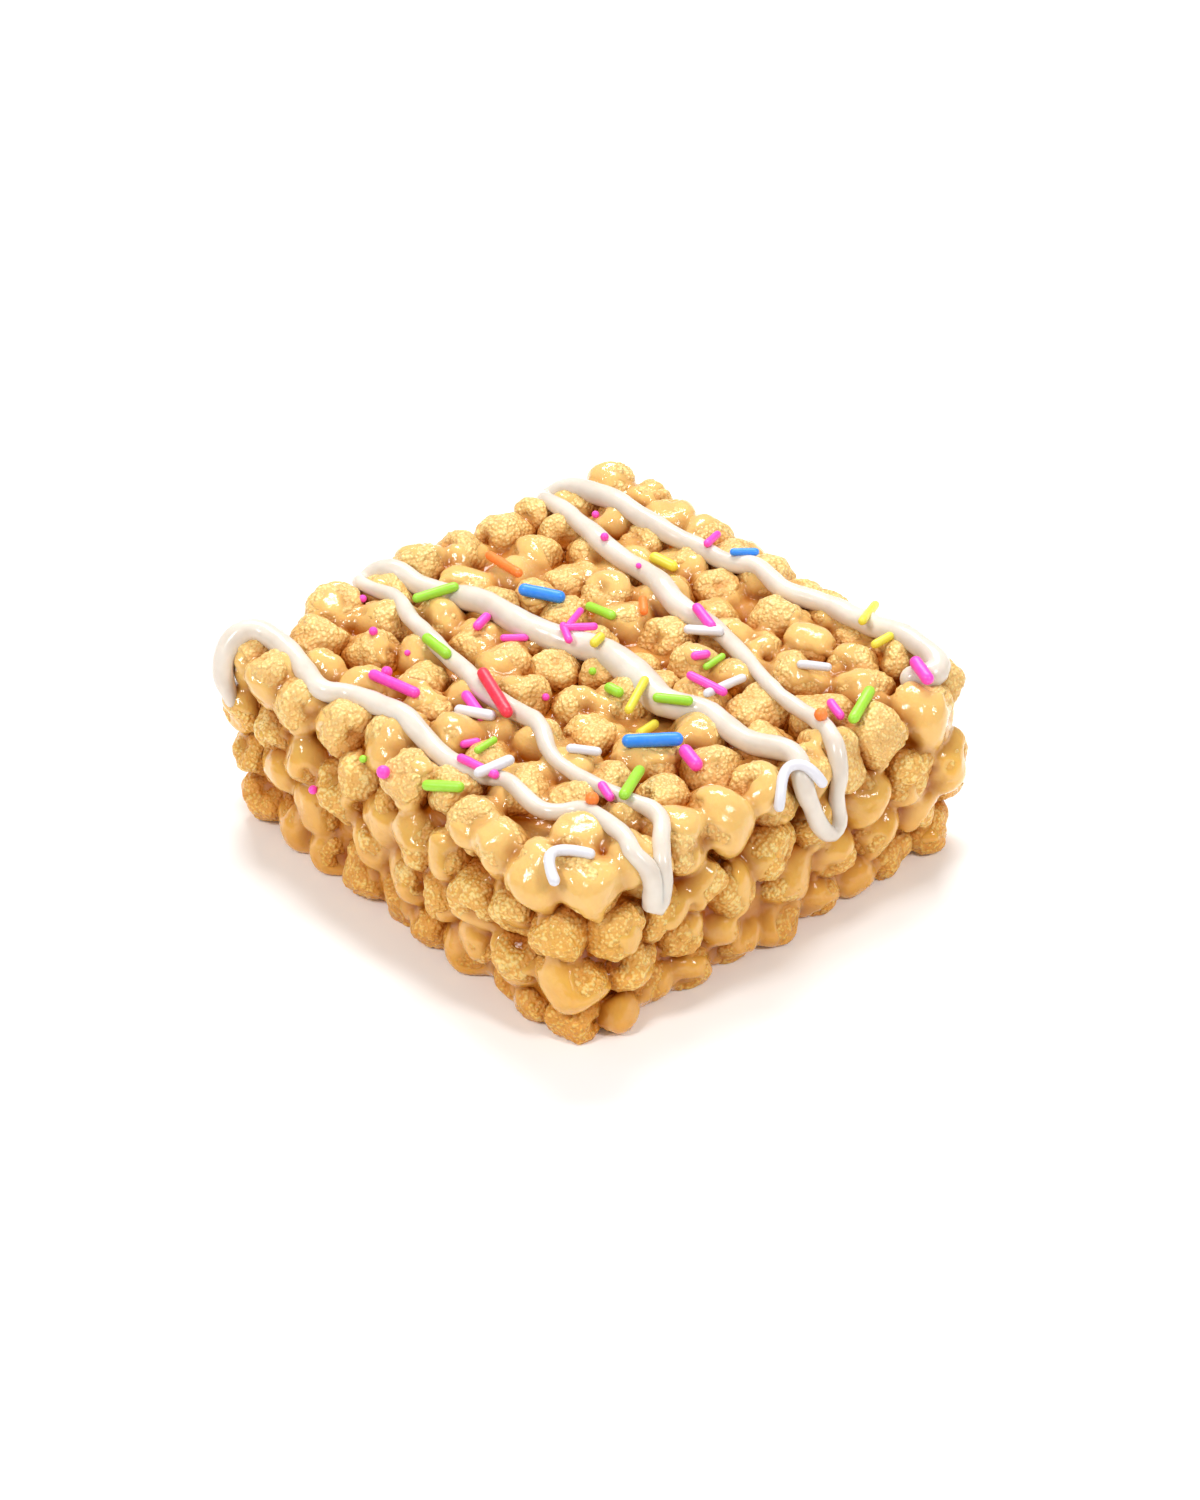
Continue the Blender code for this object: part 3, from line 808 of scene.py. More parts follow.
@dataclass(frozen=True)
class CaramelBinder:
    """The caramel that fills between the crisps and runs up over many of them."""

    form: BarForm
    puffs: Puffs
    finish: CaramelSyrup
    pitch: float = 0.32
    margin: float = 2.0
    web_reach: float = 0.22
    core_inset: float = 3.0
    core_swell: float = 0.5
    core_swell_mm: float = 5.0
    core_rounding: float = 4.0
    coat_reach: float = 3.2
    # What stands for the distance from the crisps in places that are out of every crisp's reach
    far: float = 9.0
    coat_mean: float = -0.06
    coat_spread: float = 0.14
    coat_range: tuple[float, float] = (-0.44, 0.16)
    coat_most: float = 0.18
    coat_swell: float = 0.52
    coat_swell_mm: float = 3.4
    coat_grain: float = 0.20
    coat_grain_mm: float = 1.2
    rim_height: float = 0.18
    rim_width: float = 0.10
    rim_reach: float = 4.0
    base_gap: float = 0.12
    crowding_mm: float = 1.3
    # The filled shares that the crevice shade mask runs between, from no painted shade to full
    crevice: tuple[float, float] = (0.42, 0.74)
    hidden_depth: float = 0.45
    shown_thinning: float = 0.2
    triangle_budget: int = 190000
    seed: int = 4

    def grid(self) -> list[np.ndarray]:
        """Lays out the grid that the caramel is worked out on.

        Returns:
            The coordinates along x, y and z.
        """
        half_x = self.form.length / 2 + self.margin
        half_y = self.form.width / 2 + self.margin
        return [
            np.arange(-half_x, half_x, self.pitch),
            np.arange(-half_y, half_y, self.pitch),
            np.arange(-0.6, self.form.height + self.margin, self.pitch),
        ]

    def core_field(self, axes: list[np.ndarray]) -> np.ndarray:
        """Finds how far the grid's points are from the caramel's core slab.

        Args:
            axes: the grid's coordinates.

        Returns:
            The distance at each grid point, negative inside.
        """
        form = self.form
        inset = self.core_inset + self.core_swell * soft_noise(axes, self.core_swell_mm, self.seed + 1)
        half = (form.length / 2, form.width / 2, form.height / 2 + 2.0)
        centre = (0.0, 0.0, form.height / 2 - 2.0)
        grids = np.meshgrid(*axes, indexing="ij", sparse=True)
        past = [np.abs(grids[k] - centre[k]) - (half[k] - inset - self.core_rounding) for k in range(3)]
        outside = np.sqrt(sum(np.maximum(side, 0) ** 2 for side in past))
        inside = np.minimum(np.maximum(np.maximum(past[0], past[1]), past[2]), 0)
        return outside + inside - self.core_rounding

    def caramel_field(self, axes: list[np.ndarray]) -> tuple[np.ndarray, np.ndarray]:
        """Finds how far the grid's points are from the caramel's skin.

        Args:
            axes: the grid's coordinates.

        Returns:
            The distance at each grid point, negative inside, and the distance from the crisps.
        """
        draw = np.random.default_rng(self.seed)
        coats = draw.normal(self.coat_mean, self.coat_spread, len(self.puffs.radii))
        coats = np.clip(coats, *self.coat_range)
        swell = self.coat_swell * soft_noise(axes, self.coat_swell_mm, self.seed + 2)
        swell += self.coat_grain * soft_noise(axes, self.coat_grain_mm, self.seed + 3)
        core = self.core_field(axes)
        crisp = np.full(core.shape, self.far)
        weight = np.exp(-core / self.web_reach)
        for index, centre in enumerate(self.puffs.centres):
            reach = max(self.puffs.radii[index], self.puffs.half_lengths[index]) + self.coat_reach
            spans = [
                np.searchsorted(axis, (middle - reach, middle + reach)) for axis, middle in zip(axes, centre)
            ]
            window = tuple(slice(*span) for span in spans)
            places = [axis[part] for axis, part in zip(axes, window)]
            points = np.stack(np.meshgrid(*places, indexing="ij"), axis=-1)
            distance = self.puffs.field(index, points)
            crisp[window] = np.minimum(crisp[window], distance)
            coat = coats[index] + swell[window]
            coat = np.where(coat > 0, self.coat_most * np.tanh(coat / self.coat_most), coat)
            coated = distance - coat
            weight[window] += np.exp(-coated / self.web_reach)
        soft = -self.web_reach * np.log(weight)
        cover = crisp - soft
        rim = np.where(crisp < self.rim_reach, self.rim_height * np.tanh(cover / self.rim_width), 0)
        skin = soft - rim
        return np.maximum(skin, self.base_gap - axes[2][None, None, :]), crisp

    def skin_net(self, field: np.ndarray, axes: list[np.ndarray]) -> tuple[np.ndarray, np.ndarray]:
        """Draws a net of quads over the zero level of a field.

        Args:
            field: the values on the grid.
            axes: the grid's coordinates.

        Returns:
            The net's points in millimetres, and its faces.
        """
        inside = field < 0
        corners = [(i, j, k) for i in (0, 1) for j in (0, 1) for k in (0, 1)]
        shape = np.array(field.shape) - 1
        count = sum(
            inside[i:i + shape[0], j:j + shape[1], k:k + shape[2]].astype(np.int8) for i, j, k in corners
        )
        active = (count > 0) & (count < 8)
        cells = np.argwhere(active)
        number = np.full(active.shape, -1)
        number[active] = np.arange(len(cells))
        total = np.zeros((len(cells), 3))
        hits = np.zeros(len(cells))
        for first in corners:
            for axis in range(3):
                if first[axis]:
                    continue
                second = tuple(v + (k == axis) for k, v in enumerate(first))
                low = field[tuple((cells + first).T)]
                high = field[tuple((cells + second).T)]
                crossed = (low < 0) != (high < 0)
                share = low[crossed] / (low[crossed] - high[crossed])
                total[crossed] += np.array(first) + share[:, None] * (np.arange(3) == axis)
                hits[crossed] += 1
        start = np.array([axis[0] for axis in axes])
        points = (cells + total / hits[:, None]) * self.pitch + start
        faces = []
        for axis in range(3):
            step = np.eye(3, dtype=int)
            side, other = step[(axis + 1) % 3], step[(axis + 2) % 3]
            here = inside[tuple(slice(0, -1) if k == axis else slice(None) for k in range(3))]
            there = inside[tuple(slice(1, None) if k == axis else slice(None) for k in range(3))]
            spots = np.argwhere(here != there)
            spots = spots[((spots - side - other) >= 0).all(axis=1) & (spots < shape).all(axis=1)]
            ring = [spots, spots - side, spots - side - other, spots - other]
            quads = np.stack([number[tuple(spot.T)] for spot in ring], axis=1)
            outward = here[tuple(spots.T)]
            quads[~outward] = quads[~outward][:, ::-1]
            faces.append(quads)
        return points, np.concatenate(faces)

    def build(self) -> tuple[bpy.types.Object, Crowding]:
        """Builds and dresses the caramel.

        Returns:
            The finished piece, and how crowded each place in the bar is.
        """
        axes = self.grid()
        skin, crisp = self.caramel_field(axes)
        reach = round(self.crowding_mm / self.pitch)
        crowding = Crowding.measure(axes, np.minimum(skin, crisp) < 0, reach)
        points, faces = self.skin_net(skin, axes)
        LOG.info("the caramel's net: %d faces", len(faces))
        mesh = bpy.data.meshes.new("caramel_net")
        mesh.vertices.add(len(points))
        mesh.vertices.foreach_set("co", (points * MM).ravel())
        mesh.loops.add(faces.size)
        mesh.loops.foreach_set("vertex_index", faces.ravel())
        mesh.polygons.add(len(faces))
        mesh.polygons.foreach_set("loop_start", np.arange(len(faces)) * 4)
        mesh.update(calc_edges=True)
        mesh.validate()
        net = make_object("caramel_net", mesh)
        group = net.vertex_groups.new(name="thinned")
        cells = np.round((points - [axis[0] for axis in axes]) / self.pitch).astype(int)
        hidden = crisp[tuple(cells.T)] < -self.hidden_depth
        group.add(np.flatnonzero(hidden).tolist(), 1.0, "REPLACE")
        group.add(np.flatnonzero(~hidden).tolist(), self.shown_thinning, "REPLACE")
        relax = net.modifiers.new("relax", "SMOOTH")
        relax.factor = 0.4
        relax.iterations = 1
        thin = net.modifiers.new("thin", "DECIMATE")
        thin.ratio = min(1, self.triangle_budget / (2 * len(faces)))
        thin.vertex_group = "thinned"
        piece = plain_mesh(net, "caramel_binder")
        crowding.mark(piece.data, *self.crevice)
        piece.data.materials.append(self.finish.make())
        piece.data.shade_smooth()
        return piece, crowding


# The crisps


@dataclass(frozen=True)
class CrispScatter:
    """The crisps as grainy pieces, set out by one Geometry Nodes tree and flattened where the bar lies."""

    form: BarForm
    puffs: Puffs
    crowding: Crowding
    finish: ToastedCrisp
    sides: int = 40
    rings: int = 24
    lump_mm: float = 2.3
    lump_height: float = 1.15
    grain_mm: float = 0.95
    grain_height: float = 0.80
    end_dent: float = 0.20
    top_depth: float = 5.2
    base_depth: float = 5.0
    # The filled shares that the crevice shade mask runs between, from no painted shade to full
    crevice: tuple[float, float] = (0.40, 0.74)
    seed: int = 6

    def blank(self) -> bpy.types.Object:
        """Builds the smooth crisp of unit radius and unit half length that is set out.

        Returns:
            The blank, which is removed once the crisps are made.
        """
        rounding = self.puffs.rounding
        flat = 1 - rounding
        run = flat + rounding * math.pi / 2 + flat
        points = [Vector((0, 0, -1 + self.end_dent))]
        for ring in range(1, self.rings):
            travel = 2 * run * ring / self.rings
            back = travel > run
            stretch = 2 * run - travel if back else travel
            if stretch < flat:
                reach = stretch
                height = 1 - self.end_dent * (1 - stretch / flat) ** 2
            elif stretch < flat + rounding * math.pi / 2:
                turn = (stretch - flat) / rounding
                reach = flat + rounding * math.sin(turn)
                height = flat + rounding * math.cos(turn)
            else:
                reach = 1.0
                height = flat - (stretch - flat - rounding * math.pi / 2)
            height = height if back else -height
            for side in range(self.sides):
                around = 2 * math.pi * (side + 0.5 * (ring % 2)) / self.sides
                points.append(Vector((reach * math.cos(around), reach * math.sin(around), height)))
        points.append(Vector((0, 0, 1 - self.end_dent)))
        faces = []
        last = len(points) - 1
        for side in range(self.sides):
            turn = (side + 1) % self.sides
            faces.append((0, 1 + turn, 1 + side))
            for ring in range(self.rings - 2):
                low = 1 + ring * self.sides
                high = low + self.sides
                faces.append((low + side, low + turn, high + turn, high + side))
            low = 1 + (self.rings - 2) * self.sides
            faces.append((low + side, low + turn, last))
        mesh = bpy.data.meshes.new("crisp_blank")
        mesh.from_pydata(points, [], faces)
        return make_object("crisp_blank", mesh)

    def tree(self) -> bpy.types.NodeTree:
        """Builds the tree that sets out, roughens and flattens the crisps.

        Returns:
            The node group.
        """
        tree = geometry_tree("set out crisps", {
            "Blank": "Object", "Lump size": "Float", "Lump height": "Float",
            "Grain size": "Float", "Grain height": "Float", "Finish": "Material",
        })
        given = add_node(tree, "NodeGroupInput").outputs
        turn, size = [
            add_node(
                tree, "GeometryNodeInputNamedAttribute", {"data_type": "FLOAT_VECTOR"}, Name=name
            ).outputs["Attribute"]
            for name in ("turn", "size")
        ]
        level = add_node(tree, "GeometryNodeInputNamedAttribute", Name="level").outputs["Attribute"]
        blank = add_node(tree, "GeometryNodeObjectInfo", Object=given["Blank"]).outputs["Geometry"]
        rotation = add_node(tree, "FunctionNodeEulerToRotation", Euler=turn).outputs["Rotation"]
        placed = add_node(
            tree, "GeometryNodeInstanceOnPoints",
            Points=given["Geometry"], Instance=blank, Rotation=rotation, Scale=size,
        ).outputs["Instances"]
        crisps = add_node(tree, "GeometryNodeRealizeInstances", Geometry=placed).outputs["Geometry"]
        crisps = push_out(
            tree, crisps, given["Lump size"], given["Lump height"], detail=1.0, roughness=0.6
        )
        crisps = push_out(
            tree, crisps, given["Grain size"], given["Grain height"], detail=3.0, roughness=0.6
        )
        place = add_node(tree, "GeometryNodeInputPosition").outputs["Position"]
        parts = add_node(tree, "ShaderNodeSeparateXYZ", Vector=place).outputs
        raised = add_node(tree, "ShaderNodeMath", {"operation": "MAXIMUM"}, i0=parts["Z"], i1=level)
        pressed = add_node(tree, "ShaderNodeCombineXYZ", X=parts["X"], Y=parts["Y"], Z=raised.outputs[0])
        crisps = add_node(
            tree, "GeometryNodeSetPosition", Geometry=crisps, Position=pressed.outputs["Vector"]
        ).outputs["Geometry"]
        crisps = add_node(tree, "GeometryNodeSetShadeSmooth", Geometry=crisps).outputs["Geometry"]
        crisps = add_node(tree, "GeometryNodeSetMaterial", Geometry=crisps, Material=given["Finish"])
        add_node(tree, "NodeGroupOutput", Geometry=crisps.outputs["Geometry"])
        return tree

    def zones(self) -> dict[CrispZone, np.ndarray]:
        """Sorts the crisps by where they lie.

        Returns:
            Which crisps each zone has.
        """
        centres = self.puffs.centres
        top = centres[:, 2] > self.form.height - self.top_depth
        base = ~top & (centres[:, 2] < self.base_depth)
        front = centres[:, 0] > centres[:, 1]
        return {
            CrispZone.TOP: top,
            CrispZone.BASE: base,
            CrispZone.FRONT: ~top & ~base & front,
            CrispZone.BACK: ~top & ~base & ~front,
        }

    def points(self, chosen: np.ndarray) -> bpy.types.Object:
        """Builds the points that a zone's crisps are set on.

        Args:
            chosen: which crisps they are.

        Returns:
            An object with one point for each crisp.
        """
        draw = np.random.default_rng(self.seed)
        puffs = self.puffs
        mesh = bpy.data.meshes.new("crisp_points")
        mesh.from_pydata([tuple(centre * MM) for centre in puffs.centres[chosen]], [], [])
        turns = []
        for axis in puffs.axes[chosen]:
            spin = Matrix.Rotation(draw.uniform(0, 2 * math.pi), 3, "Z")
            turns.append((Vector(axis).to_track_quat("Z", "Y").to_matrix() @ spin).to_euler())
        sizes = np.column_stack([puffs.radii, puffs.radii, puffs.half_lengths])[chosen] * MM
        count = int(chosen.sum())
        layers = (
            ("turn", "FLOAT_VECTOR", "vector", np.array(turns)),
            ("size", "FLOAT_VECTOR", "vector", sizes),
            ("tone", "FLOAT", "value", draw.uniform(-1, 1, count)),
            ("level", "FLOAT", "value", draw.uniform(0, 0.1, count) * MM),
        )
        for name, kind, entry, values in layers:
            layer = mesh.attributes.new(name, kind, "POINT")
            layer.data.foreach_set(entry, np.asarray(values, dtype=np.float32).ravel())
        return make_object("crisp_points", mesh)

    def build(self) -> list[bpy.types.Object]:
        """Builds and dresses the crisps.

        Returns:
            One finished piece for each zone.
        """
        tree = self.tree()
        blank = self.blank()
        material = self.finish.make()
        pieces = []
        for zone, chosen in self.zones().items():
            points = self.points(chosen)
            run_nodes(
                points, tree, Blank=blank, Lump_size=self.lump_mm * MM, Lump_height=self.lump_height * MM,
                Grain_size=self.grain_mm * MM, Grain_height=self.grain_height * MM, Finish=material,
            )
            pieces.append(plain_mesh(points, zone.value))
            self.crowding.mark(pieces[-1].data, *self.crevice)
        bpy.data.objects.remove(blank, do_unlink=True)
        return pieces


# The icing and the sprinkles


def round_rod_tree() -> bpy.types.NodeTree:
    """Builds the tree that turns a path with radii into a closed round form.

    Returns:
        The node group.
    """
    tree = geometry_tree("round along path", {
        "Sides": "Int", "Swell size": "Float", "Swell height": "Float", "Finish": "Material",
    })
    given = add_node(tree, "NodeGroupInput").outputs
    ring = add_node(tree, "GeometryNodeCurvePrimitiveCircle", Resolution=given["Sides"], Radius=1.0)
    radius = add_node(tree, "GeometryNodeInputRadius").outputs["Radius"]
    form = add_node(
        tree, "GeometryNodeCurveToMesh",
        Curve=given["Geometry"], Profile_Curve=ring.outputs["Curve"], Scale=radius, Fill_Caps=True,
    ).outputs["Mesh"]
    form = push_out(tree, form, given["Swell size"], given["Swell height"], detail=1.0, roughness=0.5)
    form = add_node(tree, "GeometryNodeSetShadeSmooth", Geometry=form).outputs["Geometry"]
    form = add_node(tree, "GeometryNodeRealizeInstances", Geometry=form).outputs["Geometry"]
    form = add_node(tree, "GeometryNodeSetMaterial", Geometry=form, Material=given["Finish"])
    add_node(tree, "NodeGroupOutput", Geometry=form.outputs["Geometry"])
    return tree


def path_object(name: str, paths: list[tuple[np.ndarray, np.ndarray]]) -> bpy.types.Object:
    """Builds a curve object from paths in millimetres.

    Args:
        name: the curve's name.
        paths: each path's points and radii.

    Returns:
        The curve object, in metres.
    """
    curve = bpy.data.curves.new(name, "CURVE")
    curve.dimensions = "3D"
    for points, radii in paths:
        spline = curve.splines.new("POLY")
        spline.points.add(len(points) - 1)
        places = np.column_stack([points * MM, np.ones(len(points))])
        spline.points.foreach_set("co", places.astype(np.float32).ravel())
        spline.points.foreach_set("radius", (radii * MM).astype(np.float32))
    return make_object(name, curve)


def round_ends(
    line: np.ndarray, radii: np.ndarray, turns: tuple[float, ...]
) -> tuple[np.ndarray, np.ndarray]:
    """Adds a rounded end to both ends of a path.

    Args:
        line: the path's points.
        radii: the radius at each.
        turns: how far round an end each added point is, in degrees, from the tip inwards.

    Returns:
        The longer path and the radius at each of its points.
    """
    heading = line[[0, -1]] - line[[1, -2]]
    heading /= np.linalg.norm(heading, axis=1)[:, None]
    sines, cosines = np.sin(np.radians(turns)), np.cos(np.radians(turns))
    first, last = [line[end] + heading[end] * radii[end] * sines[:, None] for end in (0, -1)]
    radii = np.concatenate([radii[0] * cosines, radii, (radii[-1] * cosines)[::-1]])
    return np.vstack([first, line, last[::-1]]), radii


@dataclass(frozen=True)
class IcingStrand:
    """The icing, piped to and fro in one strand that runs over the edges and drapes over the crisps."""

    form: BarForm
    puffs: Puffs
    finish: YogurtIcing
    step: float = 0.7
    sides: int = 22
    widen: float = 1.14
    sink: float = 0.42
    sag: float = 0.004
    bridge_rounds: int = 60
    smooth_rounds: int = 4
    swell_mm: float = 3.4
    swell_height: float = 0.55
    end_turns: tuple[float, ...] = (78, 60, 40, 20)
    # Each row is x, y and the strand's thickness
    route: tuple[tuple[float, float, float], ...] = (
        (-28.0, -34.4, 1.5), (-29.2, -30.0, 2.2), (-28.0, -25.4, 2.4), (-22.0, -24.8, 2.2),
        (-15.5, -26.3, 2.0), (-12.0, -24.2, 2.1), (-5.0, -23.4, 2.2), (4.0, -23.4, 2.0),
        (10.4, -22.0, 1.7), (17.0, -22.0, 1.7), (20.8, -19.2, 1.6), (26.5, -19.4, 1.7),
        (29.0, -20.1, 1.7), (31.0, -19.3, 1.9), (33.2, -19.1, 1.9), (34.9, -19.3, 2.2),
        (35.2, -18.4, 2.2), (33.4, -18.0, 1.8), (31.2, -17.5, 1.8), (29.2, -16.2, 1.7),
        (26.0, -13.9, 1.7), (21.0, -15.0, 1.5), (11.8, -15.6, 1.5),
        (5.6, -13.4, 1.8), (-3.2, -13.4, 1.9), (-9.0, -12.2, 1.8), (-17.5, -11.2, 1.7),
        (-23.5, -9.5, 1.5), (-29.0, -9.9, 1.5), (-32.0, -8.2, 1.7), (-30.0, -5.8, 2.2),
        (-24.0, -4.2, 2.3), (-17.0, -2.3, 2.5), (-9.0, -1.8, 2.6), (-2.0, 1.0, 2.9),
        (5.0, 1.4, 3.2), (10.5, 0.7, 3.0), (15.0, 3.0, 2.3), (21.5, 2.6, 2.3),
        (27.0, 4.0, 2.2), (31.2, 2.9, 1.9), (34.6, 3.8, 1.7), (37.5, 5.2, 1.7),
        (38.6, 6.6, 1.8), (37.4, 7.8, 1.8), (34.4, 7.6, 1.6), (31.0, 8.2, 1.7),
        (25.0, 10.2, 1.7), (17.5, 10.5, 1.5), (11.0, 12.6, 1.7), (4.0, 14.2, 1.9),
        (-2.5, 14.0, 2.4), (-9.5, 15.6, 2.2), (-17.0, 15.7, 2.2), (-25.0, 17.2, 1.8),
        (-30.0, 17.9, 1.6), (-31.8, 19.4, 1.7), (-29.5, 21.2, 1.9), (-24.5, 22.0, 2.2),
        (-17.0, 22.6, 2.1), (-9.5, 24.0, 2.0), (-5.5, 24.4, 2.0), (-2.0, 25.8, 2.0),
        (3.0, 25.5, 2.0), (9.0, 27.1, 2.2), (17.0, 27.9, 2.3), (22.2, 28.1, 2.3),
        (25.4, 27.6, 2.4), (26.2, 26.2, 2.6), (24.9, 24.4, 2.5),
    )

    def smooth_route(self) -> np.ndarray:
        """Runs a smooth curve through the route at even steps.

        Returns:
            A plan place and a thickness in each row.
        """
        knots = np.array(self.route)
        knots = np.vstack([2 * knots[0] - knots[1], knots, 2 * knots[-1] - knots[-2]])
        fine = []
        for index in range(1, len(knots) - 2):
            before, here, there, after = knots[index - 1:index + 3]
            for share in np.arange(0, 1, 0.1):
                fine.append(0.5 * (
                    2 * here + (there - before) * share
                    + (2 * before - 5 * here + 4 * there - after) * share**2
                    + (3 * here - before - 3 * there + after) * share**3
                ))
        fine = np.array(fine + [knots[-2]])
        gaps = np.linalg.norm(np.diff(fine[:, :2], axis=0), axis=1)
        travelled = np.concatenate([[0], np.cumsum(gaps)])
        stops = np.linspace(0, travelled[-1], int(travelled[-1] / self.step) + 1)
        return np.column_stack([np.interp(stops, travelled, fine[:, column]) for column in range(3)])

    def drape(self) -> tuple[np.ndarray, np.ndarray]:
        """Lays the strand over the relief.

        Returns:
            The strand's middle line and its thickness along it.
        """
        route = self.smooth_route()
        starts, normals = self.form.drape_frames(route[:, :2])
        height = self.form.cast_down(starts, normals, self.puffs.distance)
        for _ in range(self.bridge_rounds):
            height[1:-1] = np.maximum(height[1:-1], (height[:-2] + height[2:]) / 2 - self.sag)
        for _ in range(self.smooth_rounds):
            height[1:-1] = height[1:-1] / 2 + (height[:-2] + height[2:]) / 4
        thickness = route[:, 2] * self.widen
        lift = height + thickness * (0.5 - self.sink)
        return starts + normals * lift[:, None], thickness

    def build(self) -> bpy.types.Object:
        """Builds and dresses the icing.

        Returns:
            The finished piece.
        """
        line, thickness = self.drape()
        curve = path_object("icing_path", [round_ends(line, thickness / 2, self.end_turns)])
        run_nodes(
            curve, round_rod_tree(), Sides=self.sides, Swell_size=self.swell_mm * MM,
            Swell_height=self.swell_height * MM, Finish=self.finish.make(),
        )
        return plain_mesh(curve, "icing_strand")


@dataclass(frozen=True)
class Sprinkles:
    """The sprinkles: rods and pearls of dyed sugar, each seated on what lies under it."""

    form: BarForm
    puffs: Puffs
    line: np.ndarray
    thickness: np.ndarray
    caramel: BVHTree
    sides: int = 14
    stops: int = 9
    sink: float = 0.1
    pearl_sink: float = 0.15
    steepest: float = 0.12
    curl_droop: float = 0.07
    curl_rounds: int = 40
    swell_mm: float = 1.5
    swell_height: float = 0.12
    end_turns: tuple[float, ...] = (82, 62, 42, 22)
    # Each rod's x, y, heading in degrees, length and thickness
    rods: ClassVar[dict[Sugar, tuple[tuple[float, ...], ...]]] = {
        Sugar.PINK: (
            (-8.6, 25.0, -67, 3.6, 0.9), (2.9, 13.4, -14, 4.5, 1.2), (7.7, 8.6, 67, 2.3, 1.0),
            (12.6, 5.1, 15, 5.2, 1.0), (-5.9, 1.9, -60, 4.8, 0.8), (-4.0, 1.1, 63, 4.1, 0.9),
            (-4.1, -0.8, -26, 3.3, 0.9), (-13.7, -5.0, -71, 2.9, 1.1), (-9.2, -4.0, 43, 3.2, 0.8),
            (-10.2, -20.2, 9, 7.3, 1.25), (-2.1, -15.6, -14, 5.0, 1.2), (1.8, -19.3, 65, 2.3, 0.9),
            (7.8, -23.1, 8, 5.8, 1.0), (20.4, -16.1, -15, 2.9, 1.0), (20.4, -4.2, -14, 3.9, 1.5),
            (24.2, 13.4, -17, 3.2, 1.0), (26.3, 24.2, -19, 4.1, 1.45),
        ),
        Sugar.GREEN: (
            (-20.9, -5.8, 70, 5.5, 1.15), (-12.1, -12.7, -3, 4.8, 1.25), (-7.2, 6.9, 4, 4.5, 1.1),
            (6.3, -2.8, 12, 2.4, 1.2), (12.4, 0.3, 38, 4.5, 1.1), (8.7, 9.7, -89, 3.2, 0.8),
            (5.3, -20.0, -83, 3.3, 0.8), (6.6, -27.1, 36, 5.0, 1.2), (21.5, -13.5, -58, 6.6, 1.2),
            (26.1, 15.4, -65, 5.9, 1.25),
        ),
        Sugar.BLUE: (
            (-13.4, 3.5, 39, 5.4, 1.45), (16.4, -6.1, 55, 6.6, 1.5), (-3.9, 25.7, 57, 3.4, 0.9),
        ),
        Sugar.YELLOW: (
            (-10.3, 19.1, 16, 3.7, 1.3), (-0.3, 0.5, -77, 2.2, 1.1), (9.5, -2.3, -61, 6.0, 1.0),
            (11.5, -2.5, -84, 3.3, 1.1), (14.0, 27.8, -54, 7.0, 1.0), (18.8, 25.6, 86, 3.0, 1.0),
        ),
        Sugar.ORANGE: (
            (-21.0, 4.2, -2, 6.4, 1.1), (-4.5, 10.9, -38, 3.1, 1.0),
        ),
        Sugar.RED: (
            (-0.4, -14.0, -17, 8.0, 1.4),
        ),
        Sugar.WHITE: (
            (17.4, 16.6, 48, 3.9, 1.0), (4.2, 12.2, 33, 4.6, 1.1), (13.4, 7.0, -86, 6.4, 1.0),
            (-0.8, -16.5, 25, 5.0, 1.2), (9.4, -22.2, 82, 4.9, 1.2), (13.2, -13.0, 47, 3.8, 1.0),
        ),
    }
    # The rods that curl: the plan places of one end, the middle and the other end, and the thickness
    curls: ClassVar[dict[Sugar, tuple[tuple, ...]]] = {
        Sugar.WHITE: (
            ((26.6, -28.6), (24.2, -26.3), (26.5, -23.6), 1.2),
            ((31.6, -1.2), (28.9, 1.6), (31.2, 4.2), 1.2),
        ),
    }
    # The pearls: x, y and diameter
    pearls: ClassVar[dict[Sugar, tuple[tuple[float, float, float], ...]]] = {
        Sugar.PINK: (
            (-27.0, -11.5, 0.9), (-19.5, -15.8, 1.0), (-15.0, -14.6, 0.7),
            (0.7, -7.8, 0.8), (-23.1, 19.8, 0.9), (-16.3, 15.3, 1.0),
            (-9.8, 14.8, 0.7), (0.6, -29.7, 1.5), (-11.6, -38.0, 1.0),
            (-13.2, -18.9, 1.3),
        ),
        Sugar.GREEN: (
            (1.3, -1.6, 0.9), (-5.7, -31.2, 0.9),
        ),
        Sugar.ORANGE: (
            (25.6, 9.8, 1.5), (21.1, -18.6, 1.5),
        ),
    }

    def distance(self, points: np.ndarray) -> np.ndarray:
        """Finds how far points are from the crisps and the icing.

        Args:
            points: the points, one a row.

        Returns:
            The distance at each point, negative inside.
        """
        away = np.linalg.norm(points[:, None, :] - self.line[None], axis=2) - self.thickness / 2
        return np.minimum(self.puffs.distance(points), away.min(axis=1))

    def relief(self, starts: np.ndarray, normals: np.ndarray) -> np.ndarray:
        """Finds how high the crisps, the icing and the caramel stand over the smooth outline.

        Args:
            starts: points on the smooth outline.
            normals: the outward direction at each.

        Returns:
            The height at each point.
        """
        height = self.form.cast_down(starts, normals, self.distance)
        reach = self.form.drape_reach
        for index, (start, normal) in enumerate(zip(starts, normals)):
            travel = self.caramel.ray_cast(Vector((start + normal * reach) * MM), Vector(-normal))[3]
            if travel is not None:
                height[index] = max(height[index], reach - travel / MM)
        return height

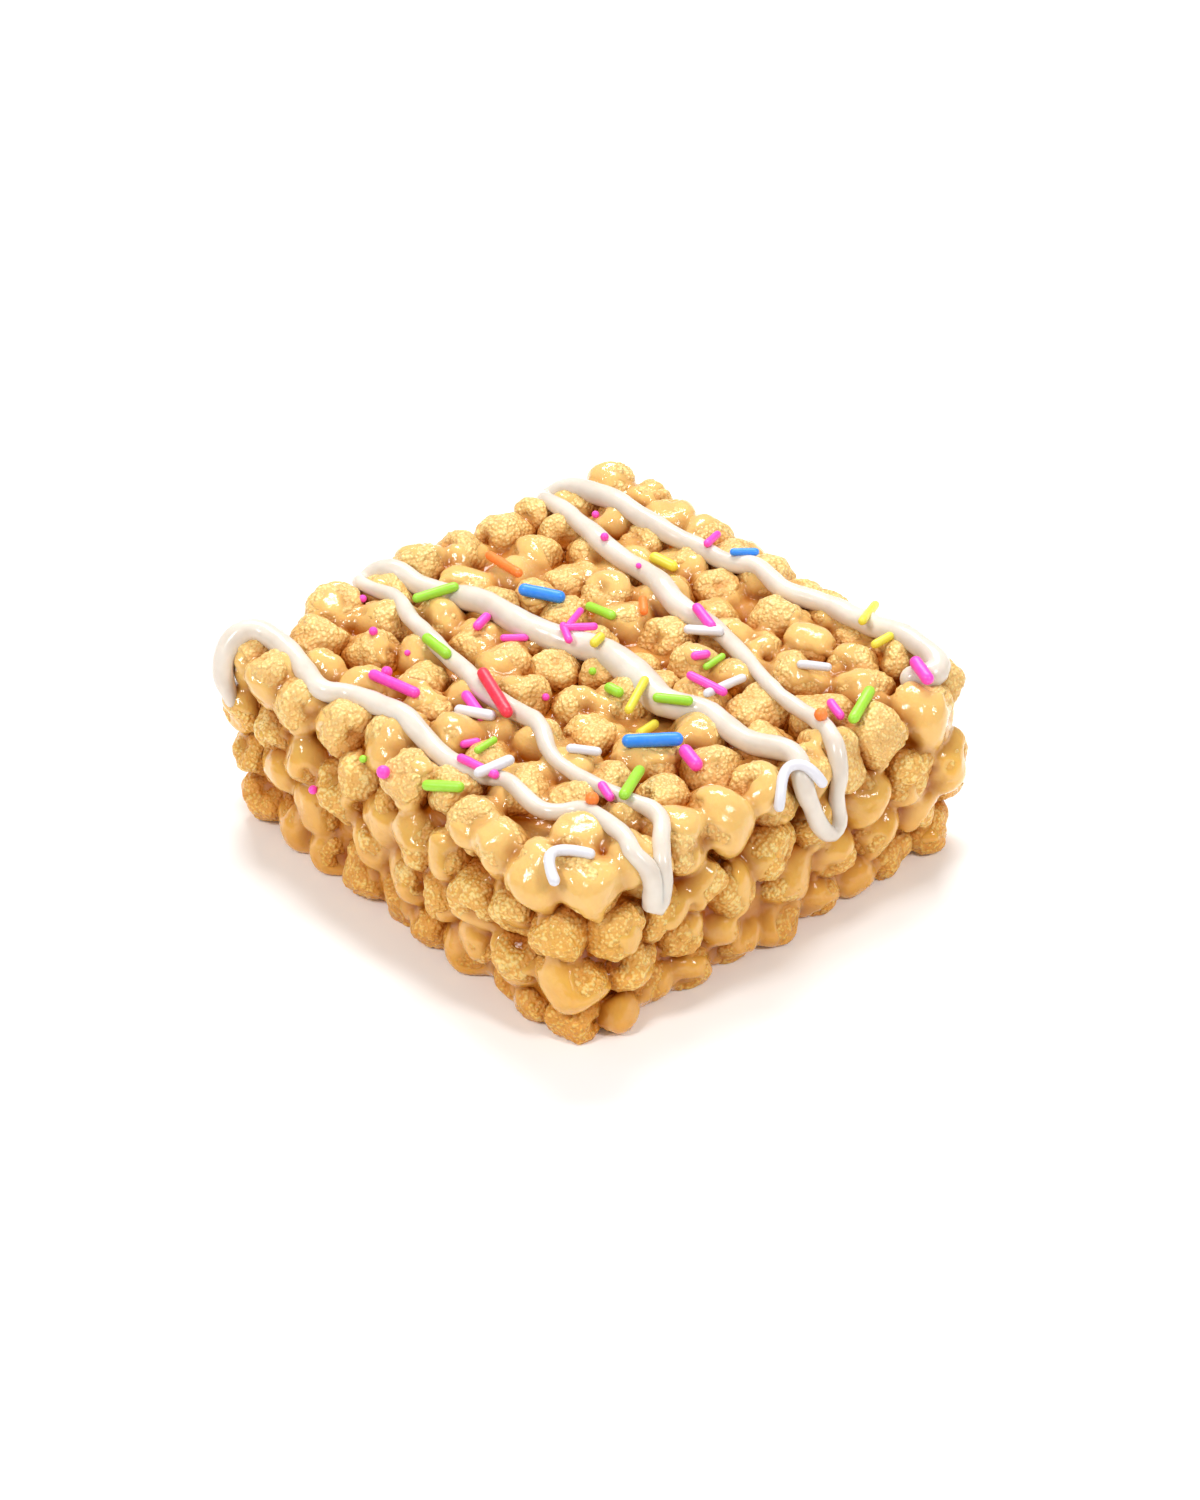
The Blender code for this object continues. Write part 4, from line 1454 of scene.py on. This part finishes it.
    def rod_path(self, rod: tuple[float, ...]) -> tuple[np.ndarray, np.ndarray]:
        """Seats one rod on the highest parts under it.

        Args:
            rod: its x, y, heading, length and thickness.

        Returns:
            The path of its middle and the radii along it, with rounded ends.
        """
        x, y, heading, length, thickness = rod
        reach = (length - thickness) / 2
        turn = math.radians(heading)
        shares = np.linspace(-1, 1, 5)
        plan = np.column_stack([x + math.cos(turn) * reach * shares, y + math.sin(turn) * reach * shares])
        starts, normals = self.form.drape_frames(plan)
        height = self.relief(starts, normals)
        slope = (height[3:].max() - height[:2].max()) / max(2 * reach, 1e-6)
        slope = np.clip(slope, -self.steepest, self.steepest)
        level = (height - slope * shares * reach).max()
        lift = level + slope * shares * reach + thickness * (0.5 - self.sink)
        ends = (starts + normals * lift[:, None])[[0, -1]]
        body = ends[0] + (ends[1] - ends[0]) * np.linspace(0, 1, self.stops)[:, None]
        return round_ends(body, np.full(len(body), thickness / 2), self.end_turns)

    def curl_path(self, curl: tuple) -> tuple[np.ndarray, np.ndarray]:
        """Seats one rod that curls.

        Args:
            curl: the plan places of its end, middle and other end, and its thickness.

        Returns:
            The path of its middle and the radii along it, with rounded ends.
        """
        first, middle, last = np.array(curl[:3])
        thickness = curl[3]
        shares = np.linspace(0, 1, 2 * self.stops)[:, None]
        bend = 2 * middle - (first + last) / 2
        plan = first * (1 - shares) ** 2 + bend * 2 * shares * (1 - shares) + last * shares**2
        starts, normals = self.form.drape_frames(plan)
        height = self.relief(starts, normals)
        for _ in range(self.curl_rounds):
            height[1:-1] = np.maximum(height[1:-1], (height[:-2] + height[2:]) / 2)
            height[[0, -1]] = np.maximum(height[[0, -1]], height[[1, -2]] - self.curl_droop)
        lift = height + thickness * (0.5 - self.sink)
        body = starts + normals * lift[:, None]
        return round_ends(body, np.full(len(body), thickness / 2), self.end_turns)

    def pearl_path(self, pearl: tuple[float, float, float]) -> tuple[np.ndarray, np.ndarray]:
        """Seats one pearl.

        Args:
            pearl: its x, y and diameter.

        Returns:
            The path of its middle and the radii along it.
        """
        x, y, size = pearl
        point, normal = self.form.drape_frame(x, y)
        height = self.relief(point[None], normal[None])[0]
        centre = point + normal * (height + size * (0.5 - self.pearl_sink))
        turns = np.radians(np.linspace(-82, 82, 9))
        return centre + normal * size / 2 * np.sin(turns)[:, None], size / 2 * np.cos(turns)

    def build(self) -> list[bpy.types.Object]:
        """Builds and dresses the sprinkles.

        Returns:
            One finished piece for each colour.
        """
        tree = round_rod_tree()
        pieces = []
        for sugar in Sugar:
            paths = [self.rod_path(rod) for rod in self.rods[sugar]]
            paths += [self.curl_path(curl) for curl in self.curls.get(sugar, ())]
            paths += [self.pearl_path(pearl) for pearl in self.pearls.get(sugar, ())]
            name = f"sprinkles_{sugar.name.lower()}"
            curve = path_object(name + "_paths", paths)
            run_nodes(
                curve, tree, Sides=self.sides, Swell_size=self.swell_mm * MM,
                Swell_height=self.swell_height * MM, Finish=SugarShell(sugar).make(),
            )
            pieces.append(plain_mesh(curve, name))
        return pieces


# The studio


@dataclass(frozen=True)
class Studio:
    """The pale floor, the soft lights and the camera."""

    azimuth: float = 49.3
    elevation: float = 35.6
    distance_mm: float = 440.0
    aim_right_mm: float = 0.45
    aim_up_mm: float = 7.92
    lens_mm: float = 92.93
    floor_hex: str = "FFFFFF"
    floor_reach: float = 3.0
    room_light: float = 0.37

    def directions(self, azimuth: float, elevation: float) -> tuple[Vector, Vector, Vector]:
        """Finds a viewer's own directions.

        Args:
            azimuth: where the viewer stands round the bar, in degrees.
            elevation: how high it looks from, in degrees.

        Returns:
            The directions back to the viewer, to its right and up.
        """
        turn, rise = math.radians(azimuth), math.radians(elevation)
        back = Vector((math.sin(turn) * math.cos(rise), -math.cos(turn) * math.cos(rise), math.sin(rise)))
        right = Vector((math.cos(turn), math.sin(turn), 0))
        return back, right, back.cross(right)

    def camera(self) -> None:
        """Sets up the camera where the photograph was taken from."""
        back, right, up = self.directions(self.azimuth, self.elevation)
        data = bpy.data.cameras.new("camera")
        data.sensor_fit = "VERTICAL"
        data.sensor_height = 36
        data.lens = self.lens_mm
        data.clip_start = 0.01
        camera = make_object("camera", data)
        camera.location = (back * self.distance_mm + right * self.aim_right_mm + up * self.aim_up_mm) * MM
        camera.rotation_euler = Matrix((right, up, back)).transposed().to_euler()
        bpy.context.scene.camera = camera

    def softbox(
        self, name: str, azimuth: float, elevation: float, away: float,
        size: tuple[float, float], power: float,
    ) -> None:
        """Hangs a rectangular soft light that faces the bar.

        Args:
            name: the light's name.
            azimuth: where it hangs round the bar, in degrees.
            elevation: how high, in degrees.
            away: how far off, in metres.
            size: its width and height in metres.
            power: its power in watts.
        """
        back, right, up = self.directions(azimuth, elevation)
        data = bpy.data.lights.new(name, "AREA")
        data.shape = "RECTANGLE"
        data.size, data.size_y = size
        data.energy = power
        light = make_object(name, data)
        light.location = back * away
        light.rotation_euler = Matrix((right, up, back)).transposed().to_euler()

    def floor(self) -> None:
        """Lays the pale floor, which isn't part of the bar."""
        mesh = bpy.data.meshes.new("floor")
        reach = self.floor_reach
        corners = [(-reach, -reach, 0), (reach, -reach, 0), (reach, reach, 0), (-reach, reach, 0)]
        mesh.from_pydata(corners, [], [(0, 1, 2, 3)])
        floor = make_object("floor", mesh)
        material = bpy.data.materials.new("matt white sweep")
        material.use_nodes = True
        fill(
            material.node_tree, material.node_tree.nodes["Principled BSDF"],
            Base_Color=linear(self.floor_hex), Roughness=0.9, Specular_IOR_Level=0.1,
        )
        mesh.materials.append(material)

    def build(self) -> None:
        """Sets up the whole studio."""
        self.camera()
        self.floor()
        world = bpy.data.worlds.new("studio")
        world.use_nodes = True
        fill(
            world.node_tree, world.node_tree.nodes["Background"],
            Color=(1.0, 1.0, 1.0, 1.0), Strength=self.room_light,
        )
        bpy.context.scene.world = world
        bpy.context.scene.view_settings.view_transform = "Standard"
        self.softbox("left box", 0, 48, 0.7, (0.09, 0.18), 2.0)
        self.softbox("right box", 100, 46, 0.7, (0.09, 0.18), 1.7)
        self.softbox("back box", 229, 60, 0.7, (0.42, 0.16), 4.2)


def main() -> None:
    """Builds the bar and the studio, and ties each piece to the solid."""
    logging.basicConfig(level=logging.INFO, format="%(message)s")
    form = BarForm()
    puffs = PuffPacking(form).pack()
    LOG.info("crisps that show: %d", len(puffs.radii))
    caramel, crowding = CaramelBinder(form, puffs, CaramelSyrup()).build()
    pieces = [caramel] + CrispScatter(form, puffs, crowding, ToastedCrisp()).build()
    icing = IcingStrand(form, puffs, YogurtIcing())
    pieces.append(icing.build())
    corners = [corner.co for corner in caramel.data.vertices]
    faces = [tuple(face.vertices) for face in caramel.data.polygons]
    pieces += Sprinkles(form, puffs, *icing.drape(), BVHTree.FromPolygons(corners, faces)).build()
    centre = Vector((*form.middle, 0)) * MM
    for piece in pieces:
        piece.data.transform(Matrix.Translation(centre))
        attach(piece, "root")
        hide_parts("puff_bar")
        LOG.info("%s: %d triangles", piece.name, sum(len(face.vertices) - 2 for face in piece.data.polygons))
    Studio().build()


if __name__ == "__main__":
    main()
